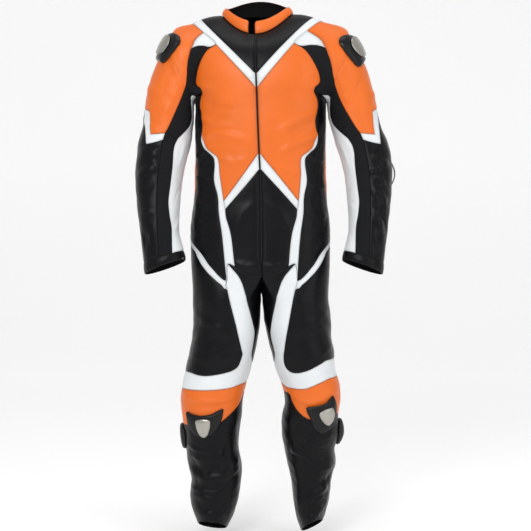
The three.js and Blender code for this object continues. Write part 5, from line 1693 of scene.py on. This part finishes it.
@dataclass
class FrontZip:
    """The long front zip: its tape, two rows of moulded teeth and the topstitching beside it."""

    seams: BodySeams
    tailor: Tailor
    pitch: float = 2.6
    tooth: float = 1.1
    reach: float = 2.3
    row: float = 11.0

    def build(self) -> None:
        """Make the tape and the teeth."""
        marks = (-NECK, V_TOP, V_LOW, PEAK_TOP, PEAK_LOW, ZIP_END)
        edge = np.vstack([self.seams.zip_edge(a, b) for a, b in zip(marks, marks[1:])])
        other = np.column_stack([-edge[:, 0], edge[:, 1]])
        self.tailor.piece("front_zip", Finish.TAPE, self.seams.surface, [edge, back(other)], LEFT,
                          Cloth(edge=1.0, puff=-0.9, waves=0.0), low=-1.9, step=3.0, size=(NARROWEST, 0.65))
        rows = StitchRows("zip_teeth", Finish.TEETH, Sewing(self.tooth, self.pitch, self.reach / 2, 1.0))
        levels = np.arange(NECK + 2, -ZIP_END - 3, 2.0)
        for hand in (-1, 1):
            turn = np.array([self.seams.zip_turn(at) for at in levels]) * 0.22 * hand
            shift = 0.65 * self.pitch if hand > 0 else 0.0
            flat = np.column_stack([turn * self.seams.surface.scale, levels + shift])
            rows.sew(self.seams.surface, LEFT, flat, lambda rim, turn, at: np.full(len(turn), -0.9))
        rows.build(self.tailor.wardrobe)
        for finish, top, low in ((Finish.ORANGE, 178, 354), (Finish.BLACK, 34, 124), (Finish.BLACK, 398, 618)):
            for side in (RIGHT, LEFT):
                self.topstitch(finish, side, float(top), float(low))

    def topstitch(self, finish: Finish, side: int, top: float, low: float) -> None:
        """Sew one row beside the zip, through the tape under the leather."""
        surface = self.seams.surface
        levels = np.arange(top, low, 3.0)
        spots = surface.solve(np.column_stack([np.full(len(levels), self.row), -levels]))
        height = SMOOTH.height(surface, side)
        self.tailor.thread("body", finish).sew(surface, side, spots * (surface.scale, 1),
                                               lambda rim, turn, at: height(np.full(len(turn), 9.0), turn, at))


@dataclass
class Collar:
    """The stand collar and its lining."""

    band: CollarBand
    tailor: Tailor
    gap: float = 8.0
    slit: float = -6.0
    foot: float = 37.0

    def build(self) -> None:
        """Make both layers."""
        plan = SeamPlan(self.band)
        half = math.degrees(math.asin(self.gap / self.band.half))
        start, end = self.slit + half, self.slit - half + 360
        self.tailor.piece("collar", Finish.ORANGE, self.band, self.outline(plan, start, end, 0, self.foot), LEFT,
                          Cloth(edge=1.2, puff=1.2, waves=0.25), step=4.0)
        self.tailor.piece("collar_lining", Finish.LINING, self.band,
                          self.outline(plan, start + 1.8, end - 1.8, 2.4, self.foot + 5), LEFT,
                          Cloth(edge=0.3, puff=0.0, waves=0.0, base=-3.0), low=-4.6, step=8.0)

    def outline(self, plan: SeamPlan, start: float, end: float, top: float, low: float) -> list[Line]:
        """Draw a band with rounded upper corners at the slit."""
        wide, deep = 4.0, 8.0
        return [
            plan.straight((start + wide, top), (end - wide, top)),
            plan.curved((end - wide, top), (end - wide * 0.25, top + deep * 0.3), (end, top + deep)),
            plan.straight((end, top + deep), (end, low)),
            plan.straight((end, low), (start, low)), plan.straight((start, low), (start, top + deep)),
            plan.curved((start, top + deep), (start + wide * 0.25, top + deep * 0.3), (start + wide, top)),
        ]


@dataclass
class SleeveSet:
    """The pieces of one sleeve."""

    seams: ArmSeams
    tailor: Tailor
    name: str
    side: int

    def build(self) -> None:
        """Make every piece of the sleeve."""
        s, arm, name = self.seams, ARM_KNOTS, self.name
        sleeve = s.surface
        place = f"sleeve_{name}"

        def make(piece: str, finish: Finish, lines: Sequence[Line], cloth: Cloth, **more: object) -> None:
            """Make one piece of this sleeve."""
            self.tailor.piece(f"{piece}_{name}", finish, sleeve, lines, self.side, cloth, place=place, **more)

        make("sleeve_cap", Finish.ORANGE, [
            s.top(ARM_BACK, arm["gusset"]), s.gusset_out, s.cap, s.band_top, s.band_in, s.band_peak,
            s.behind, back(s.back_top)], FULL)
        make("gusset", Finish.WHITE, [
            s.top(arm["gusset"], arm["stripe"]), s.gusset_low, back(s.gusset_out)], SMOOTH)
        make("arm_stretch", Finish.STRETCH, [
            s.top(arm["stripe"], arm["inner"]), s.inner_top, back(s.elbow), back(s.cap),
            back(s.gusset_low)], KNIT)
        make("inner_arm", Finish.WHITE, [
            s.top(arm["inner"], arm["inner_back"]), shifted(s.back_top, 360), shifted(s.back_low, 360),
            back(s.cuff_inner), back(s.inner_low), back(s.inner_top)], SOFT)
        make("elbow_band", Finish.WHITE, [
            s.band_top, s.band_in, s.band_peak, s.band_out, s.band_low, s.band_end], SMOOTH)
        make("forearm", Finish.BLACK, [
            back(s.behind), s.band_out, s.band_low, s.front, back(s.cuff_outer), back(s.back_low)],
            SOFT, step=4.5)
        make("forearm_stretch", Finish.STRETCH, [
            s.elbow, s.inner_low, back(s.cuff_front), back(s.front), s.band_end], KNIT)
        cuff = [
            s.cuff_outer, s.cuff_front, s.cuff_inner,
            s.straight((arm["inner_back"], CUFF_TOP), (arm["inner_back"], CUFF_END)),
            s.straight((arm["inner_back"], CUFF_END), (ARM_BACK, CUFF_END)),
            s.straight((ARM_BACK, CUFF_END), (ARM_BACK, CUFF_TOP))]
        make("cuff", Finish.BLACK, cuff, Cloth(edge=0.8, puff=1.6, waves=0.5, size=30), sewn=(2.6, 6.0))


@dataclass
class LegSet:
    """The pieces of one leg."""

    seams: LegSeams
    tailor: Tailor
    name: str
    side: int

    def build(self) -> None:
        """Make every piece of the leg."""
        s, hip, name = self.seams, LEG_KNOTS, self.name
        leg = s.surface

        def make(piece: str, finish: Finish, lines: Sequence[Line], cloth: Cloth, **more: object) -> None:
            """Make one piece of this leg."""
            self.tailor.piece(f"{piece}_{name}", finish, leg, lines, self.side, cloth, place=f"leg_{name}", **more)

        make("hip_stripe", Finish.WHITE, [
            s.top(hip["hip_end"], hip["side"]), s.hip_side, s.hip_low, back(s.hip_back)], SMOOTH)
        make("thigh_stripe", Finish.WHITE, [
            s.top(hip["side"], hip["notch"]), s.thigh_in, s.back_band, back(s.band_low),
            back(s.band_side), back(s.thigh_low), back(s.thigh_out), back(s.hip_side)], SMOOTH)
        make("inner_thigh", Finish.BLACK, [
            s.top(hip["notch"], hip["seat"]), s.back_top, back(s.thigh_in)], SOFT, held="hung")
        behind = shifted(back(np.vstack([s.back_top, s.back_band, s.back_knee])), -360)
        make("thigh", Finish.BLACK, [
            s.hip_back, back(s.hip_low), s.thigh_out, s.thigh_low, s.band_side, s.knee_side, s.knee_back,
            behind, s.top(LEG_SEAM, hip["hip_end"])], FULL, held="hung")
        make("knee", Finish.ORANGE, [s.band_low, s.back_knee, back(s.knee_low), back(s.knee_side)], FULL)
        make("shin", Finish.BLACK, [
            back(s.knee_back), s.knee_low, s.shin_back, s.straight((200, HEM), (LEG_SEAM, HEM)),
            back(shifted(s.shin_back, -360))], LOOSE, held="hung", step=4.5)


def rounded(rows: Array, scale: float, step: float = 2.0) -> Line:
    """Round the corners of a closed outline and space its points."""
    points = np.array(rows, float) * (scale, 1)
    for _ in range(3):
        following = np.roll(points, -1, axis=0)
        gap = np.linalg.norm(following - points, axis=1)[:, None]
        share = np.minimum(0.25, 3.0 / gap)
        points = np.stack([points + (following - points) * share, following - (following - points) * share], axis=1)
        points = points.reshape(-1, 2)
    return resampled(np.vstack([points, points[:1]]), step, False)[:-1] / (scale, 1)


@dataclass(frozen=True)
class Dome:
    """The profile of a moulded guard, from its edge to its crown."""

    foot: float
    edge: float
    crown: float
    reach: float
    bevel: float = 1.4
    bead: float = 0.0

    def height(self, rim: Array, turn: Array, at: Array) -> Array:
        """Work out the height at a distance from the rim."""
        out = self.foot + self.edge + (self.crown - self.edge) * (1 - np.exp(-rim / self.reach))
        out -= self.bevel * np.exp(-((rim / 1.1) ** 1.5))
        return out + self.bead * np.exp(-(((rim - 4.5) / 1.7) ** 2))


@dataclass
class Guards:
    """Shoulder and knee cups with their metal inserts, and the knee sliders."""

    sleeve: Sleeve
    leg: Leg
    wardrobe: Wardrobe
    shoulder_lift: float = 1.4
    knee_lift: float = 1.1
    cup_crown: float = 11.0
    puck: tuple[float, float, float] = (-4.0, 22.0, 36.0)

    def build(self) -> None:
        """Make every guard."""
        for name, side in SIDES:
            lift, (cup, insert) = self.shoulder_lift, SHOULDERS[name]
            self.plate(f"shoulder_cup_{name}", Finish.SHELL, self.sleeve, cup, side,
                       Dome(lift, 5, self.cup_crown, 9, bead=0.9))
            self.plate(f"shoulder_insert_{name}", Finish.METAL, self.sleeve, insert, side,
                       Dome(lift + 0.9 + self.cup_crown, 1.5, 5, 8, 0.9))
            plan, lift = KNEES[name], self.knee_lift
            self.plate(f"knee_cup_{name}", Finish.SHELL, self.leg, self.leg.solve(plan.cup), side,
                       Dome(lift, 5, self.cup_crown, 9, bead=1.1))
            self.plate(f"knee_insert_{name}", Finish.METAL, self.leg, self.leg.solve(plan.insert), side,
                       Dome(lift + 0.52 + self.cup_crown, 1.5, 5, 8, 0.9))
            self.slider(name, side, plan.slider)

    def plate(self, name: str, finish: Finish, surface: Surface, rows: Array, side: int, dome: Dome) -> None:
        """Make one guard in place of the frame's solid of the same name."""
        cut = Cut(surface, rounded(rows, surface.scale), side, 2.6, (0.7, 1.6, 3.0, 4.6))
        made = Shell(cut, dome.height, dome.foot, 0.0, creased=False).build(f"{name}_moulded")
        self.wardrobe.dress(made, finish, finish)
        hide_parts(name)
        LOG.info("%s: %d points", name, len(made.data.vertices))

    def slider(self, name: str, side: int, at: float) -> None:
        """Make the puck outside a knee, with the hook-and-loop strip's screw on the left one."""
        turn = np.linspace(0, 2 * math.pi, 17)[:-1]
        rows = np.column_stack([
            self.puck[0] + self.puck[1] * np.cos(turn), at + self.puck[2] * np.sin(turn)])
        self.plate(f"knee_slider_{name}", Finish.SLIDER, self.leg, rows, side,
                   Dome(self.knee_lift, 6, 13, 10, 1.8, 0.8))
        if side == LEFT:
            self.stud("slider_stud", self.leg, (6.0, at + 2), side, 3.6, 13.2)

    def stud(self, name: str, surface: Surface, place: tuple[float, float], side: int, radius: float,
             rise: float) -> None:
        """Make a small round metal stud."""
        turn = np.linspace(0, 2 * math.pi, 21)[:-1]
        rows = np.column_stack([place[0] + radius * np.cos(turn) / surface.scale, place[1] + radius * np.sin(turn)])
        dome = Dome(rise - 1.4, 1.6, 2.6, 3, 0.5)
        cut = Cut(surface, rows, side, 1.4, (0.5, 1.2))
        made = Shell(cut, dome.height, dome.foot, 0.0, creased=False).build(name)
        self.wardrobe.dress(made, Finish.METAL, Finish.METAL)


@dataclass
class Fittings:
    """The loop on the left forearm, the cuff's snap and the topstitched seams of the sleeves."""

    sleeve: Sleeve
    tailor: Tailor
    guards: Guards

    def build(self) -> None:
        """Make them all."""
        self.loop()
        snap = tuple(self.sleeve.solve([(213, -617)])[0])
        self.guards.stud("cuff_snap", self.sleeve, snap, RIGHT, 4.5, 1.6)
        for name, side in SIDES:
            self.arc(name, side)

    def arc(self, name: str, side: int) -> None:
        """Sew the two rows along the seam across the front of a sleeve cap."""
        plan, scale = SeamPlan(self.sleeve), self.sleeve.scale
        rows = SLEEVE_ARCS[side]
        line = plan.drawn(plan.seen(*rows[0]), rows[1:-1], plan.seen(*rows[-1])) * (scale, 1)
        run = np.gradient(line, axis=0)
        run /= np.linalg.norm(run, axis=1)[:, None]
        across = np.column_stack([-run[:, 1], run[:, 0]])
        height = FULL.height(self.sleeve, side)
        for by in (-2.4, 2.4):
            self.tailor.thread(f"sleeve_{name}", Finish.ORANGE).sew(
                self.sleeve, side, line + by * across,
                lambda rim, turn, at: height(np.full(len(turn), 30.0), turn, at))

    def loop(self) -> None:
        """Make the loop that stands off the forearm."""
        turn, half, start, end, lift, bow = -8.0, 4.4, 352.0, 412.0, 0.5, 8.0
        plan = SeamPlan(self.sleeve)
        lines = [
            plan.straight((turn - half, start), (turn + half, start)),
            plan.straight((turn + half, start), (turn + half, end)),
            plan.straight((turn + half, end), (turn - half, end)),
            plan.straight((turn - half, end), (turn - half, start)),
        ]
        cut = Cut(self.sleeve, np.vstack(lines), LEFT, 3.0, (0.8, 1.8))

        def arch(at: Array) -> Array:
            """Give how far the loop stands off."""
            return lift + bow * np.sin(math.pi * np.clip((at - start) / (end - start), 0, 1))

        shell = Shell(cut, lambda rim, turns, at: arch(at) + 1.7 - 0.6 * np.exp(-((rim / 1.0) ** 1.5)), 0.0,
                      0.0, creased=False, under=arch)
        made = shell.build("forearm_loop_cloth")
        self.tailor.wardrobe.dress(made, Finish.BLACK, Finish.BLACK)
        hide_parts("forearm_loop")
        flat, area = shell.measure(made)


@dataclass(frozen=True)
class Lamp:
    """One soft light: where it stands, its size and its strength."""

    name: str
    place: tuple[float, float, float]
    size: tuple[float, float]
    power: float


@dataclass(frozen=True)
class Studio:
    """The pale floor and backdrop, the lights and the camera."""

    aim: tuple[float, float, float] = (0.0135, 0.0, -0.636)
    distance: float = 3.6
    lens: float = 90.4
    floor: float = -1.37
    glow: float = 0.2
    lamps: tuple[Lamp, ...] = (
        Lamp("key_light", (-0.9, -3.4, 1.1), (1.1, 1.1), 46.0),
        Lamp("fill_light", (2.4, -2.4, 0.2), (1.8, 2.2), 17.0),
        Lamp("top_light", (0.2, -0.6, 2.4), (2.2, 1.4), 22.0),
    )

    def build(self) -> None:
        """Make it all."""
        self.backdrop()
        self.world()
        for lamp in self.lamps:
            self.light(lamp)
        data = bpy.data.cameras.new("camera")
        data.lens, data.sensor_width, data.sensor_fit = self.lens, 36.0, "HORIZONTAL"
        camera = bpy.data.objects.new("camera", data)
        camera.location = (self.aim[0], -self.distance, self.aim[2])
        camera.rotation_euler = (math.radians(90), 0, 0)
        bpy.context.scene.collection.objects.link(camera)
        bpy.context.scene.camera = camera

    def backdrop(self) -> None:
        """Make a floor that curves up into a wall behind the suit."""
        shader = Shader("studio_paper")
        shade = shader.noise(1.5, 1)
        shader.set(base_color=shader.blend(shade, (0.9, 0.9, 0.9), (0.93, 0.93, 0.93)), roughness=0.9,
                   emission_color=(1.0, 1.0, 1.0), emission_strength=self.glow)
        far, bend, half = 7.0, 1.6, 9.0
        profile = [(-8.0, self.floor), (far - bend, self.floor)]
        profile += [(far - bend + bend * math.sin(a), self.floor + bend - bend * math.cos(a))
                    for a in np.radians(np.linspace(7.5, 90, 12))]
        profile.append((far, 6.0))
        points = [(x, y, z) for y, z in profile for x in (-half, half)]
        faces = [(2 * i, 2 * i + 1, 2 * i + 3, 2 * i + 2) for i in range(len(profile) - 1)]
        mesh = bpy.data.meshes.new("studio_floor")
        mesh.from_pydata(points, [], faces)
        mesh.polygons.foreach_set("use_smooth", np.ones(len(faces), bool))
        mesh.materials.append(shader.material)
        made = bpy.data.objects.new("studio_floor", mesh)
        bpy.context.scene.collection.objects.link(made)

    def world(self) -> None:
        """Set a pale even light all round."""
        world = bpy.data.worlds.new("studio_world")
        world.use_nodes = True
        ground = world.node_tree.nodes["Background"]
        ground.inputs["Color"].default_value = (1.0, 1.0, 1.0, 1.0)
        ground.inputs["Strength"].default_value = 0.65
        bpy.context.scene.world = world
        bpy.context.scene.view_settings.view_transform = "Standard"

    def light(self, lamp: Lamp) -> None:
        """Make one area light turned to the suit."""
        data = bpy.data.lights.new(lamp.name, "AREA")
        data.shape, data.energy = "RECTANGLE", lamp.power
        data.size, data.size_y = lamp.size
        made = bpy.data.objects.new(lamp.name, data)
        made.location = lamp.place
        way = Vector(self.aim) - Vector(lamp.place)
        made.rotation_euler = way.to_track_quat("-Z", "Y").to_euler()
        bpy.context.scene.collection.objects.link(made)


class RaceSuit:
    """The whole suit."""

    def __init__(self) -> None:
        """Set up the surfaces, their creases and their seams."""
        self.body = Body()
        self.sleeve, self.leg = Sleeve(self.body), Leg(self.body)
        self.band = CollarBand(self.body)
        self.body_seams = BodySeams(self.body, self.sleeve, self.leg)
        self.arm_seams = ArmSeams(self.sleeve)
        self.leg_seams = {name: LegSeams(self.leg, KNEES[name]) for name, _ in SIDES}
        self.sleeve.bend(BROAD_SLEEVE_FOLDS)
        self.leg.bend(BROAD_LEG_FOLDS)
        grooves = [Fold(side, -1.6, 2.2, rows) for side, rows in SLEEVE_ARCS.items()]
        self.body.crease(FINE_BODY_FOLDS)
        self.sleeve.crease([*FINE_SLEEVE_FOLDS, *grooves])
        self.leg.crease(FINE_LEG_FOLDS)

    def build(self) -> None:
        """Make every sub-assembly."""
        wardrobe = Wardrobe()
        tailor = Tailor(wardrobe)
        Trunk(self.body_seams, tailor).build()
        FrontZip(self.body_seams, tailor).build()
        Collar(self.band, tailor).build()
        for name, side in SIDES:
            SleeveSet(self.arm_seams, tailor, name, side).build()
            LegSet(self.leg_seams[name], tailor, name, side).build()
        guards = Guards(self.sleeve, self.leg, wardrobe)
        guards.build()
        Fittings(self.sleeve, tailor, guards).build()
        tailor.finish()


def main() -> None:
    """Build the suit and the studio."""
    logging.basicConfig(level=logging.INFO, format="%(message)s")
    RaceSuit().build()
    Studio().build()


if __name__ == "__main__":
    main()
